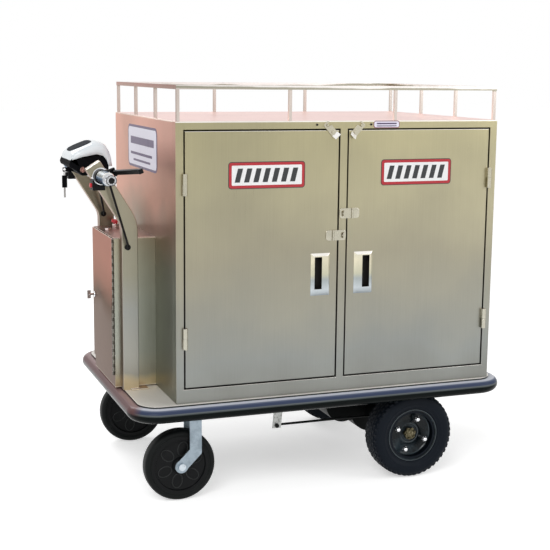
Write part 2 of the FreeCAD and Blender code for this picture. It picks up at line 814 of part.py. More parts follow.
def hasp(side, hasp_z):
    """Base with pin and outer knuckles for the door, slotted leaf, and the staple on the middle post."""
    pin_x = f"({CAB_MID} + {side} * hasp_pin)"
    foot = f"({hasp_z} - hasp_tall / 2)"
    half = "(hasp_middle / 2)"
    knuckle = f"(hasp_tall / 2 - {half} - clear_gap)"
    shoulder = "(hasp_pin + hasp_barrel_d / 2 + clear_gap)"
    base = [block(across(side, shoulder, f"{shoulder} + hasp_base"), f"{FRONT} - hasp_thick", foot,
                  "hasp_base", "hasp_thick", "hasp_tall"),
            rod("z", pin_x, HASP_Y, foot, "hasp_pin_d", "hasp_tall")]
    for low in (foot, f"{hasp_z} + {half} + clear_gap"):
        base.append(rod("z", pin_x, HASP_Y, low, "hasp_barrel_d", knuckle))
        base.append(block(across(side, "hasp_pin", f"{shoulder} + weld_lap"), f"{FRONT} - hasp_thick", low,
                          "hasp_barrel_d / 2 + clear_gap + weld_lap", "hasp_thick - hasp_lift", knuckle))
    edge = "(hasp_pin - hasp_barrel_d / 2 - clear_gap)"
    leaf_y = f"{FRONT} - hasp_thick - hasp_lift"
    leaf = [block(across(side, "(-hasp_lap)", edge), leaf_y, foot, f"hasp_lap + {edge}", "hasp_thick",
                  "hasp_tall"),
            block(across(side, f"{edge} - weld_lap", "hasp_pin"), leaf_y, f"{hasp_z} - {half}",
                  f"hasp_pin - {edge} + weld_lap", "hasp_thick", "hasp_middle"),
            rod("z", pin_x, HASP_Y, f"{hasp_z} - {half}", "hasp_barrel_d", "hasp_middle")]
    bore = rod("z", pin_x, HASP_Y, f"{hasp_z} - {half}", "hasp_pin_d + 2 * running_gap", "hasp_middle")
    slot = block(f"{CAB_MID} - staple_thick / 2 - staple_play", leaf_y,
                 f"{hasp_z} - staple_tall / 2 - staple_play",
                 "staple_thick + 2 * staple_play", "hasp_thick", "staple_tall + 2 * staple_play")
    staple = block(f"{CAB_MID} - staple_thick / 2", f"{FRONT} - staple_out", f"{hasp_z} - staple_tall / 2",
                   "staple_thick", "staple_out", "staple_tall")
    eye = rod("x", f"{CAB_MID} - staple_thick / 2", f"{FRONT} - staple_out + staple_eye", hasp_z,
              "staple_eye", "staple_thick")
    return fuse(*base), cut(fuse(*leaf), bore, slot), cut(staple, eye)


frame_hardware = []
for name, side in (("left", -1), ("right", 1)):
    node(f"door_{name}", *door_pan(side))
    node(f"pull_{name}", flush_pull(side))
    node(f"sign_{name}", block(f"{CAB_MID} + {side} * sign_mid - sign_length / 2", f"{FRONT} - sign_thick",
                               f"{CAB_TOP} - sign_from_top - sign_height / 2", "sign_length", "sign_thick",
                               "sign_height"))

    # barrel hinges: lower knuckle with the pin on the stile, upper knuckle on the door
    hinge_x = f"({CAB_MID} + {side} * {HINGE_IN})"
    outward = f"{hinge_x} + {side} * (hinge_tab_off + hinge_tab / 2) - hinge_tab / 2"
    inward = f"{hinge_x} - {side} * (hinge_tab_off + hinge_tab / 2) - hinge_tab / 2"
    tab_y = f"{FRONT} - hinge_d / 2"
    fittings = []
    for hinge_z in (f"({CAB_TOP} - hinge_from_top)", "(deck_top + hinge_from_foot)"):
        low_z = f"{hinge_z} - hinge_length / 2"
        low = rod("z", hinge_x, HINGE_Y, low_z, "hinge_d", "hinge_length / 2")
        pin = rod("z", hinge_x, HINGE_Y, low_z, "hinge_pin_d", "hinge_length / 2 + hinge_pin_up")
        frame_hardware.append(fuse(low, pin,
                                   block(outward, tab_y, low_z, "hinge_tab", "hinge_d / 2",
                                         "hinge_length / 2")))
        high_z = f"{hinge_z} + clear_gap"
        high_tall = "hinge_length / 2 - clear_gap"
        high = rod("z", hinge_x, HINGE_Y, high_z, "hinge_d", high_tall)
        bore = rod("z", hinge_x, HINGE_Y, hinge_z, "hinge_pin_d + 2 * running_gap",
                   "hinge_pin_up + clear_gap")
        fittings.append(cut(fuse(high, block(inward, tab_y, high_z, "hinge_tab", "hinge_d / 2", high_tall)),
                            bore))

    # swing latch on its door rivet, with the rail stud and a spare rail rivet
    pivot_x = f"({CAB_MID} + {side} * latch_in)"
    pivot_z = f"({CAB_TOP} - latch_down)"
    fittings.append(fuse(rod("y", pivot_x, RIVET_Y, pivot_z, "rivet_d", f"{FRONT} - {RIVET_Y}"),
                         rod("y", pivot_x, RIVET_Y, pivot_z, "2 * rivet_d", "rivet_head")))
    node(f"latch_{name}", swing_latch(side, pivot_x, pivot_z))
    stud_x = f"{pivot_x} + {side} * latch_reach * sin(latch_turn)"
    stud_z = f"{pivot_z} + latch_reach * cos(latch_turn)"
    frame_hardware.append(rod("y", stud_x, f"{FRONT} - stud_out", stud_z, "stud_d", "stud_out"))
    frame_hardware.append(rod("y", f"{CAB_MID} + {side} * spare_rivet", f"{FRONT} - rivet_head",
                              f"{CAB_TOP} - frame_face / 2",
                              "stud_d", "rivet_head"))

    hasp_base, hasp_leaf, staple = hasp(side, f"(deck_top + hasp_{name}_up)")
    fittings.append(hasp_base)
    node(f"hasp_{name}", hasp_leaf)
    frame_hardware.append(staple)
    node(f"door_{name}_fittings", *fittings)
node("frame_hardware", *frame_hardware)

# Battery box: sheet shell with sill and keeper strip, and the fixed half of its piano hinge
PIANO_X = f"({BOX_X} - piano_out)"
PIANO_Y = f"(-{BOX_Y} - piano_side)"
LID_Z = f"({BOX_Z} + box_sill)"
LID_TALL = "(box_height - box_sill - box_sheet)"
KNUCKLES = 35
PITCH = f"({LID_TALL} / {KNUCKLES})"


def knuckle_row(first, tab_x, tab_y, tab_long, tab_wide):
    """Every second barrel of the piano hinge with its tab."""
    pieces = []
    for i in range(first, KNUCKLES, 2):
        low = f"{LID_Z} + {i} * {PITCH}"
        pieces.append(rod("z", PIANO_X, PIANO_Y, low, "piano_d", f"{PITCH} - clear_gap"))
        pieces.append(block(tab_x, tab_y, low, tab_long, tab_wide, f"{PITCH} - clear_gap"))
    return pieces


panel_long = "(box_depth - box_face)"
panel_tall = "(box_height - 2 * box_sheet)"
panel_z = f"({BOX_Z} + box_sheet)"
box = []
for low in (BOX_Z, f"{BOX_TOP} - box_sheet"):
    box.append(block(SHELL_X, f"-{BOX_Y}", low, panel_long, "box_width", "box_sheet"))
for name, side in SIDES:
    box.append(block(SHELL_X, sided(side, BOX_IN, BOX_Y), panel_z, panel_long, "box_sheet", panel_tall))
box.append(block(f"{CAB_L} - box_sheet", f"-{BOX_IN}", panel_z, "box_sheet", f"2 * {BOX_IN}", panel_tall))
box.append(block(SHELL_X, f"-{BOX_IN}", panel_z, "box_sheet", f"2 * {BOX_IN}", "box_sill - box_sheet"))
box.append(block(SHELL_X, f"{BOX_IN} - box_keeper", LID_Z, "box_sheet", "box_keeper", LID_TALL))
leaf_x = f"({SHELL_X} + clear_gap)"
fixed_leaf = block(leaf_x, f"-{BOX_Y} - piano_sheet", LID_Z, "piano_leaf", "piano_sheet", LID_TALL)
fixed_row = knuckle_row(0, BOX_X, f"-{BOX_Y} - piano_sheet", f"{leaf_x} - {BOX_X} + weld_lap",
                        "piano_sheet")
box.append(fuse(fixed_leaf, rod("z", PIANO_X, PIANO_Y, LID_Z, "piano_pin_d", LID_TALL), *fixed_row))
node("box_shell", *box)

# Box door with the moving half of the hinge, and its wing knob with the cam behind
KNOB_Y = f"({BOX_Y} - knob_in)"
KNOB_Z = f"({BOX_Z} + knob_up)"
lid_y = f"(-{BOX_Y} + piano_edge)"
lid = block(BOX_X, lid_y, LID_Z, "box_plate", "box_width - piano_edge", LID_TALL)
lid_hole = rod("x", BOX_X, KNOB_Y, KNOB_Z, "knob_d + 2 * running_gap", "box_plate")
moving_leaf = block(f"{BOX_X} - piano_sheet", lid_y, LID_Z, "piano_sheet", "piano_leaf", LID_TALL)
moving_row = knuckle_row(1, f"{BOX_X} - piano_sheet", f"{PIANO_Y} + weld_lap", "piano_sheet",
                         f"{lid_y} - {PIANO_Y}")
moving_bore = rod("z", PIANO_X, PIANO_Y, LID_Z, "piano_pin_d + 2 * running_gap", LID_TALL)
node("box_door", cut(lid, lid_hole), cut(fuse(moving_leaf, *moving_row), moving_bore))

knob = [rod("x", f"{BOX_X} - clear_gap", KNOB_Y, KNOB_Z, "knob_d", "cam_in + cam_thick + clear_gap"),
        rod("x", f"{BOX_X} - clear_gap - rivet_head", KNOB_Y, KNOB_Z, "knob_bezel_d", "rivet_head"),
        rod("x", f"{BOX_X} - knob_out + wing_deep / 2", KNOB_Y, KNOB_Z, "knob_stem_d",
            "knob_out - wing_deep / 2"),
        block(f"{BOX_X} - knob_out", f"{KNOB_Y} - wing_thick / 2", f"{KNOB_Z} - wing_tall / 2", "wing_deep",
              "wing_thick", "wing_tall"),
        block(f"{BOX_X} + cam_in", f"{KNOB_Y} - cam_wide / 2", KNOB_Z, "cam_thick", "cam_wide",
              "cam_length")]
node("box_knob", fuse(*knob))

# Stop button in its collar, and the charging socket
ESTOP_X = f"({BOX_X} + estop_x)"
COLLAR_TOP = f"({BOX_TOP} + estop_collar)"
CAP_Z = f"({COLLAR_TOP} + estop_travel + 2 * clear_gap)"
collar = ring("z", ESTOP_X, "estop_y", BOX_TOP, "estop_collar_d", "estop_stem_d + 2 * running_gap",
              "estop_collar")
socket = rod("z", f"{BOX_X} + socket_x", "socket_y", BOX_TOP, "socket_d", "socket_tall")
socket_bore = rod("z", f"{BOX_X} + socket_x", "socket_y", f"{BOX_TOP} + socket_tall / 3", "socket_bore_d",
                  "socket_tall")
node("box_top_fittings", collar, cut(socket, socket_bore))
stem = rod("z", ESTOP_X, "estop_y", f"{BOX_TOP} + estop_travel + clear_gap", "estop_stem_d",
           f"{CAP_Z} - {BOX_TOP} - estop_travel")
node("estop_button", fuse(stem, rod("z", ESTOP_X, "estop_y", CAP_Z, "estop_d", "estop_cap")))

# Batteries with their terminals, and the motor controller with cooling fins
BACK_X = f"({CAB_L} - box_sheet)"
batteries = []
for name, side in SIDES:
    cell_y = sided(side, "battery_off", "battery_off + battery_y")
    pieces = [block(f"{BACK_X} - battery_x", cell_y, panel_z, "battery_x", "battery_y", "battery_z")]
    for place in ("terminal_in", "battery_y - terminal_in"):
        pieces.append(rod("z", f"{BACK_X} - battery_x / 2", f"{cell_y} + {place}", f"{panel_z} + battery_z",
                          "terminal_d", "terminal_tall"))
    batteries.append(fuse(*pieces))
node("batteries", *batteries)

controller = [block(f"{BACK_X} - control_x", "-control_y / 2", f"{BOX_Z} + control_up", "control_x",
                    "control_y", "control_z")]
fin_low = f"-({FINS - 1} * fin_pitch + fin_thick) / 2"
for i in range(FINS):
    controller.append(block(f"{BACK_X} - control_x - fin_deep", f"{fin_low} + {i} * fin_pitch",
                            f"{BOX_Z} + control_up", "fin_deep", "fin_thick", "control_z"))
node("motor_controller", fuse(*controller))


# Uprights: bent rectangular tubes standing on the deck, with foot flanges
def bent_bar(side, skin, top):
    """Straight leg, bend and leaning top of an upright, drawn in by the skin thickness."""
    wide = f"(upright_w - 2 * {skin})"
    thick = f"(upright_t - 2 * {skin})"
    low_y = f"({sided(side, BOX_Y, OUTER_Y)} + {skin})"
    leg = block(f"{COLUMN_X} - {wide} / 2", low_y, "deck_top", wide, thick, "bend_up")
    arcs = []
    for sign in (1, -1):
        arc = doc.addObject("Part::Cylinder", "arc")
        bind(arc, {"Radius": f"bend_r + {sign} * {wide} / 2", "Height": thick, "Angle": "lean"})
        arcs.append(put(arc, f"{COLUMN_X} - bend_r", f"{low_y} + {thick}", BEND_Z,
                        FreeCAD.Rotation(X_AXIS, 90)))
    inner_r = f"(bend_r - {wide} / 2)"
    head = block(f"{COLUMN_X} - bend_r + {inner_r} * cos(lean)", low_y, f"{BEND_Z} + {inner_r} * sin(lean)",
                 wide, thick, f"slant - {top}", FreeCAD.Rotation(Y_AXIS, -SIZES["lean"]))
    return fuse(leg, cut(*arcs), head)


uprights = []
for name, side in SIDES:
    foot = block(f"{DECK_L} + foot_flange / 2", sided(side, BOX_Y, f"{OUTER_Y} + foot_flange"), "deck_top",
                 "foot_long", "upright_t + foot_flange", "box_lift")
    hole = rod("y", BAR_X, sided(side, BOX_Y, OUTER_Y), BAR_Z, "bar_d", "upright_t")
    uprights.append(cut(fuse(bent_bar(side, "0", "0"), foot),
                        bent_bar(side, "upright_wall", "upright_wall"), hole))
node("uprights", *uprights)

# Handlebar tube with its welded bosses, end plugs, fixed grip and twist throttle
BAR_HALF = f"({OUTER_Y} + bar_out)"
GRIP_Y = f"({OUTER_Y} + boss_long + perch_long + grip_gap)"
bar = [ring("y", BAR_X, f"-{BAR_HALF}", BAR_Z, "bar_d", "bar_d - 2 * bar_wall", f"2 * {BAR_HALF}")]
plugs = []
for name, side in SIDES:
    bar.append(ring("y", BAR_X, sided(side, OUTER_Y, f"{OUTER_Y} + boss_long"), BAR_Z, "boss_d", "bar_d",
                    "boss_long"))
    plugs.append(fuse(rod("y", BAR_X, sided(side, f"{BAR_HALF} - plug_long", BAR_HALF), BAR_Z,
                          "bar_d - 2 * bar_wall", "plug_long"),
                      rod("y", BAR_X, sided(side, BAR_HALF, f"{BAR_HALF} + plug_head"), BAR_Z, "bar_d",
                          "plug_head")))
node("handlebar", fuse(*bar))
grip_low = sided(1, GRIP_Y, f"{GRIP_Y} + grip_long")
node("fixed_grip", ring("y", BAR_X, grip_low, BAR_Z, "grip_d", "bar_d", "grip_long"))
throttle_low = sided(-1, GRIP_Y, f"{GRIP_Y} + grip_long")
node("throttle_grip", ring("y", BAR_X, throttle_low, BAR_Z, "grip_d", "bar_d + 2 * running_gap",
                           "grip_long"))

# Brake levers in their clamps, and the switch pods on the bosses
PERCH_Y = f"({OUTER_Y} + boss_long)"
TILT = FreeCAD.Rotation(Y_AXIS, -SIZES["lever_tilt"])
controls = list(plugs)
for name, side in SIDES:
    perch_low = sided(side, PERCH_Y, f"{PERCH_Y} + perch_long")
    perch_mid = f"{side} * ({PERCH_Y} + perch_long / 2)"
    slot_half = "(lever_thick / 2 + clear_gap)"
    arm = block("perch_start", perch_low, "-perch_tall / 2", "lever_pivot + lever_hub_d / 2 - perch_start",
                "perch_long", "perch_tall")
    slot = block("perch_slot", perch_low, f"-{slot_half}", "lever_pivot", "perch_long", f"2 * {slot_half}")
    pin = rod("z", "lever_pivot", perch_mid, "-perch_tall / 2", "lever_pin_d", "perch_tall")
    perch = fuse(cut(fuse(ring("y", 0, perch_low, 0, "perch_d", "bar_d", "perch_long"), arm), slot), pin)
    controls.append(put(perch, BAR_X, 0, BAR_Z, TILT))

    blade = block(0, "-lever_wide / 2", "-lever_thick / 2", "lever_long", "lever_wide", "lever_thick")
    hub = rod("z", 0, 0, "-lever_thick / 2", "lever_hub_d", "lever_thick")
    tip = rod("z", "lever_long", 0, "-lever_thick / 2", "lever_tip_d", "lever_thick")
    lever_bore = rod("z", 0, 0, "-lever_thick / 2", "lever_pin_d + 2 * running_gap", "lever_thick")
    swing = FreeCAD.Rotation(Z_AXIS, side * (90 - SIZES["lever_flare"]))
    lever = cut(fuse(blade, hub, tip), lever_bore)
    put(lever, f"{BAR_X} + lever_pivot * cos(lever_tilt)", perch_mid,
        f"{BAR_Z} + lever_pivot * sin(lever_tilt)", TILT.multiply(swing))
    node(f"brake_lever_{name}", lever)

    pod_low = sided(side, OUTER_Y, f"{OUTER_Y} + pod_deep")
    pod_z = f"({BAR_Z} - pod_drop)"
    pod = block(f"{BAR_X} - pod_back", pod_low, pod_z, "pod_length", "pod_deep", "pod_tall")
    saddle = rod("y", BAR_X, pod_low, BAR_Z, "boss_d", "pod_deep")
    pod_mid = f"{side} * ({OUTER_Y} + pod_deep / 2)"
    button_z = f"{pod_z} + pod_button_up"
    pod_bore = rod("x", f"{BAR_X} - pod_back", pod_mid, button_z, "pod_button_d + 2 * running_gap",
                   "pod_bore")
    controls.append(cut(pod, saddle, pod_bore))
    node(f"pod_button_{name}", rod("x", f"{BAR_X} - pod_back - pod_button_out", pod_mid, button_z,
                                   "pod_button_d", "pod_button_out + pod_button_in"))
node("bar_controls", *controls)


# Cables from the controls into the uprights, each one straight run and one bend into its grommet
def routed(start, corner, end):
    """Round cable through three points with one tangent bend at the corner."""
    first = (corner - start).normalize()
    second = (end - corner).normalize()
    half_turn = first.getAngle(second) / 2
    back = SIZES["cable_bend"] * math.tan(half_turn)
    bend_in = corner - first * back
    bend_out = corner + second * back
    inward = (second - first).normalize()
    middle = corner + inward * (SIZES["cable_bend"] / math.cos(half_turn) - SIZES["cable_bend"])
    edges = [Part.LineSegment(start, bend_in).toShape(), Part.Arc(bend_in, middle, bend_out).toShape()]
    edges.append(Part.LineSegment(bend_out, end).toShape())
    path = Part.Wire(edges)
    section = Part.Wire([Part.Circle(start, first, SIZES["cable_d"] / 2).toShape()])
    thing = doc.addObject("Part::Feature", "cable")
    thing.Shape = path.makePipeShell([section], True, False)
    expected = math.pi * SIZES["cable_d"] ** 2 / 4 * path.Length
    print("cable volume", round(thing.Shape.Volume), "expected", round(expected), "bend",
          SIZES["cable_bend"])
    return thing


def point(x, y, z):
    return FreeCAD.Vector(value(x), value(y), value(z))


GROMMET = (f"{BAR_X} + grommet_x", f"{BAR_Z} - grommet_z")
FAR_GROMMET = (f"{BAR_X} + far_grommet_x", f"{BAR_Z} - far_grommet_z")
near_cable = routed(point(f"{BAR_X} + cable_start_x", f"-{PERCH_Y} - perch_long / 2",
                          f"{BAR_Z} - cable_start_z"),
                    point(GROMMET[0], f"-{OUTER_Y} - cable_stand", GROMMET[1]),
                    point(GROMMET[0], f"-{OUTER_Y}", GROMMET[1]))
far_cable = routed(point(f"{BAR_X} + far_start_x", "far_start_y", f"{BAR_Z} - base_drop + far_start_in"),
                   point(FAR_GROMMET[0], f"{BOX_Y} - cable_stand", FAR_GROMMET[1]),
                   point(FAR_GROMMET[0], BOX_Y, FAR_GROMMET[1]))
near_grommet = ring("y", GROMMET[0], f"-{OUTER_Y} - grommet_long", GROMMET[1], "grommet_d", "cable_d",
                    "grommet_long")
far_grommet = ring("y", FAR_GROMMET[0], f"{BOX_Y} - grommet_long", FAR_GROMMET[1], "grommet_d", "cable_d",
                   "grommet_long")
node("column_cables", near_cable, far_cable, near_grommet, far_grommet)

# Control head: base clamped round the bar with lock bezel and key eyelet, domed cover, display
base_y = "-base_width / 2"
lock_x = f"({BAR_X} - lock_back)"
lock_z = f"({BAR_Z} + lock_up)"
eyelet_x = f"({BAR_X} - eyelet_back)"
eyelet_z = f"({BAR_Z} + eyelet_tall / 2)"
vault = [("-head_back", "head_chin"), ("-vault_front", "vault_front_up"), ("vault_mid", "vault_mid_up"),
         ("vault_back", "vault_back_up"), ("vault_end", "vault_end_up"), ("base_tail", "head_nose")]
under = [("base_tail", "-base_drop"), ("-keel_back", "-base_drop"), ("-chin_back", "chin_up"),
         ("-nose_edge", "nose_foot"),
         ("-nose_tip", "nose_mid"), ("-nose_edge", "nose_top")]
base = fuse(put(plate("XZ_Plane", vault + under, "base_width", True), BAR_X, 0, BAR_Z),
            rod("y", lock_x, f"{base_y} - lock_bezel", lock_z, "lock_bezel_d", "lock_bezel"),
            block(f"{BAR_X} - eyelet_tip", "-eyelet_thick / 2", BAR_Z, "eyelet_tip - eyelet_root",
                  "eyelet_thick", "eyelet_tall"))
node("head_base", cut(base, rod("y", BAR_X, base_y, BAR_Z, "bar_d", "base_width"),
                      rod("y", lock_x, f"{base_y} - lock_bezel", lock_z, "lock_d + 2 * running_gap",
                          "lock_bezel + lock_deep"),
                      rod("y", eyelet_x, "-eyelet_thick / 2", eyelet_z, "key_hole_d", "eyelet_thick"),
                      far_cable))

profile = [("-head_back + brow_in", "head_brow"), ("crown_start", "head_high"),
           ("crown_end", "head_high - crown_fall"),
           ("nape_x", "head_brow + nape_up"), ("head_ahead", "head_nose")] + vault[::-1]
half_wide = "(head_width / 2)"
arch = [(half_wide, "0"), (half_wide, "head_high - temple_down"),
        (f"{half_wide} - temple_in / 3", "head_high - temple_down / 3"),
        (f"{half_wide} - temple_in", "head_high")]
arch += [(f"-({wide})", up) for wide, up in reversed(arch)]
plan = [("head_ahead", f"{half_wide} - temple_in"), ("head_ahead - temple_in / 2", half_wide),
        ("-head_back + temple_in", half_wide), ("-head_back", f"{half_wide} - temple_front")]
plan += [(along, f"-({wide})") for along, wide in reversed(plan)]
cover = doc.addObject("Part::MultiCommon", "cover")
cover.Shapes = [plate("XZ_Plane", profile, "head_width", True),
                plate("YZ_Plane", arch, "2 * head_width", True),
                plate("XY_Plane", plan, "2 * head_width", True)]
cover.Refine = True
node("head_cover", put(cover, BAR_X, 0, BAR_Z))

rise = math.degrees(math.atan2(value("head_high - head_brow"), value("head_back - brow_in + crown_start")))
screen = block(f"{BAR_X} - head_back + brow_in + screen_in * cos({rise})", "-screen_wide / 2",
               f"{BAR_Z} + head_brow + screen_in * sin({rise})",
               "screen_long", "screen_wide", "screen_thick", FreeCAD.Rotation(Y_AXIS, -rise))
node("head_display", screen)

barrel = rod("y", lock_x, f"{base_y} - lock_proud", lock_z, "lock_d", "lock_proud + lock_deep - clear_gap")
keyway = block(f"{lock_x} - blade_thick / 2", f"{base_y} - lock_proud", f"{lock_z} - blade_wide",
               "blade_thick", "lock_proud", "2 * blade_wide")
node("lock_barrel", cut(barrel, keyway))

# Key hanging from the eyelet on a wire ring
wire_z = f"({eyelet_z} - key_hole_d / 2 + key_wire_d / 2 + clear_gap)"
hoop = doc.addObject("Part::Torus", "hoop")
bind(hoop, {"Radius1": "key_ring_d / 2", "Radius2": "key_wire_d / 2"})
put(hoop, eyelet_x, 0, f"{wire_z} - key_ring_d / 2", FreeCAD.Rotation(Y_AXIS, 90))
bow_z = f"({wire_z} - key_ring_d - bow_tall + 2 * key_wire_d)"
bow = block(f"{eyelet_x} - bow_wide / 2", "-bow_thick / 2", bow_z, "bow_wide", "bow_thick", "bow_tall")
blade = block(f"{eyelet_x} - blade_wide / 2", "-blade_thick / 2", f"{bow_z} - blade_long", "blade_wide",
              "blade_thick", "blade_long + weld_lap")
node("hanging_key", fuse(hoop, bow, blade))

# Casters: fixed plate with race and kingpin, swivelling fork, webbed wheel and tyre
PLATE_Z = f"({RAIL_Z} - caster_plate_z)"
RACE_Z = f"({PLATE_Z} - race_tall)"
CROWN_Z = f"({RACE_Z} - clear_gap - crown_tall)"
NUT_Z = f"({CROWN_Z} - clear_gap - king_nut)"
ACROSS = {-1: FreeCAD.Rotation(X_AXIS, 90), 1: FreeCAD.Rotation(X_AXIS, -90)}
caster_plates = []
for name, side in SIDES:
    mid_y = f"({side} * {CASTER_Y})"
    pieces = [block(f"{CASTER_X} - caster_plate_x / 2", f"{mid_y} - caster_plate_y / 2", PLATE_Z,
                    "caster_plate_x", "caster_plate_y", "caster_plate_z"),
              rod("z", CASTER_X, mid_y, RACE_Z, "race_d", "race_tall"),
              rod("z", CASTER_X, mid_y, NUT_Z, "king_d", f"{RACE_Z} - {NUT_Z}"),
              rod("z", CASTER_X, mid_y, NUT_Z, "king_nut_d", "king_nut")]
    for sx in (-1, 1):
        for sy in (-1, 1):
            pieces.append(rod("z", f"{CASTER_X} + {sx} * (caster_plate_x / 2 - plate_bolt_in)",
                              f"{mid_y} + {sy} * (caster_plate_y / 2 - plate_bolt_in)",
                              f"{PLATE_Z} - plate_bolt",
                              "plate_bolt_d", "plate_bolt"))
    caster_plates.append(fuse(*pieces))

    # fork legs run straight down and then kink back to the axle
    crown_top = f"{CROWN_Z} + crown_tall"
    half = "(fork_bar / 2)"
    knee = "(caster_r + caster_trail * tan(fork_kick))"
    step = f"({half} * (1 - sin(fork_kick)) / cos(fork_kick))"
    aside = f"{half} * sin(fork_kick)"
    below = f"{half} * cos(fork_kick)"
    leg = [(f"-{half}", crown_top), (half, crown_top), (half, f"{knee} - {step}"),
           (f"-caster_trail + {aside}", f"caster_r - {below}"),
           (f"-caster_trail - {aside}", f"caster_r + {below}"),
           (f"-{half}", f"{knee} + {step}")]
    legs = []
    for low_y in (f"{mid_y} - fork_inside / 2 - fork_thick", f"{mid_y} + fork_inside / 2"):
        legs.append(put(plate("XZ_Plane", leg, "fork_thick"), CASTER_X, f"{low_y} + fork_thick", 0))
        legs.append(rod("y", f"{CASTER_X} - caster_trail", low_y, "caster_r", "fork_end_d", "fork_thick"))
    crown_wide = "(fork_inside + 2 * fork_thick)"
    crown = [block(f"{CASTER_X} - fork_bar / 2", f"{mid_y} - {crown_wide} / 2", CROWN_Z, "fork_bar",
                   crown_wide, "crown_tall"),
             rod("z", CASTER_X, mid_y, CROWN_Z, "race_d", "crown_tall")]
    axle_low = f"{mid_y} - {crown_wide} / 2 - axle_head"
    axle = [rod("y", f"{CASTER_X} - caster_trail", axle_low, "caster_r", "caster_axle_d",
                f"{crown_wide} + 2 * axle_head")]
    for head_y in (axle_low, f"{mid_y} + {crown_wide} / 2"):
        axle.append(rod("y", f"{CASTER_X} - caster_trail", head_y, "caster_r", "axle_head_d", "axle_head"))
    king_hole = rod("z", CASTER_X, mid_y, CROWN_Z, "king_d + 2 * running_gap", "crown_tall")
    node(f"caster_fork_{name}", cut(fuse(*legs, *crown, *axle), king_hole))

    half_hub = "(caster_hub_wide / 2)"
    half_rim = "(caster_rim_wide / 2)"
    half_web = "(caster_web / 2)"
    centre = [("0", f"-{half_hub}"), ("caster_hub_r", f"-{half_hub}"), ("caster_hub_r", f"-{half_web}"),
              ("caster_rim_in", f"-{half_web}"), ("caster_rim_in", f"-{half_rim}"),
              ("caster_rim_r", f"-{half_rim}"),
              ("caster_rim_r", half_rim), ("caster_rim_in", half_rim), ("caster_rim_in", half_web),
              ("caster_hub_r", half_web), ("caster_hub_r", half_hub), ("0", half_hub)]
    reach = "(caster_rim_in + weld_lap)"
    ribs = []
    for turn in (0, 60, 120):
        ribs.append(block(f"-{reach} * cos({turn}) + rib_thick / 2 * sin({turn})",
                          f"-{reach} * sin({turn}) - rib_thick / 2 * cos({turn})",
                          "-rib_wide / 2", f"2 * {reach}", "rib_thick", "rib_wide",
                          FreeCAD.Rotation(Z_AXIS, turn)))
    wheel_bore = rod("z", 0, 0, f"-{half_hub}", "caster_axle_d + 2 * running_gap", "caster_hub_wide")
    wheel = cut(fuse(spun(centre), *ribs), wheel_bore)
    node(f"caster_wheel_{name}", put(wheel, f"{CASTER_X} - caster_trail", mid_y, "caster_r", ACROSS[side]))

    half_tread = "(caster_wide / 2)"
    half_tyre = [("caster_rim_r", half_rim), ("caster_rim_r + bulge_up", half_tread),
                 ("caster_r - caster_edge_down", f"{half_tread} - caster_edge_in"),
                 ("caster_r - caster_crown_down", f"{half_tread} - caster_crown_in"),
                 ("caster_r", f"{half_tread} - caster_flat_in")]
    tyre = half_tyre + [(radius, f"-({wide})") for radius, wide in reversed(half_tyre)]
    node(f"caster_tyre_{name}", put(spun(tyre), f"{CASTER_X} - caster_trail", mid_y, "caster_r",
                                    ACROSS[side]))
node("caster_plates", *caster_plates)

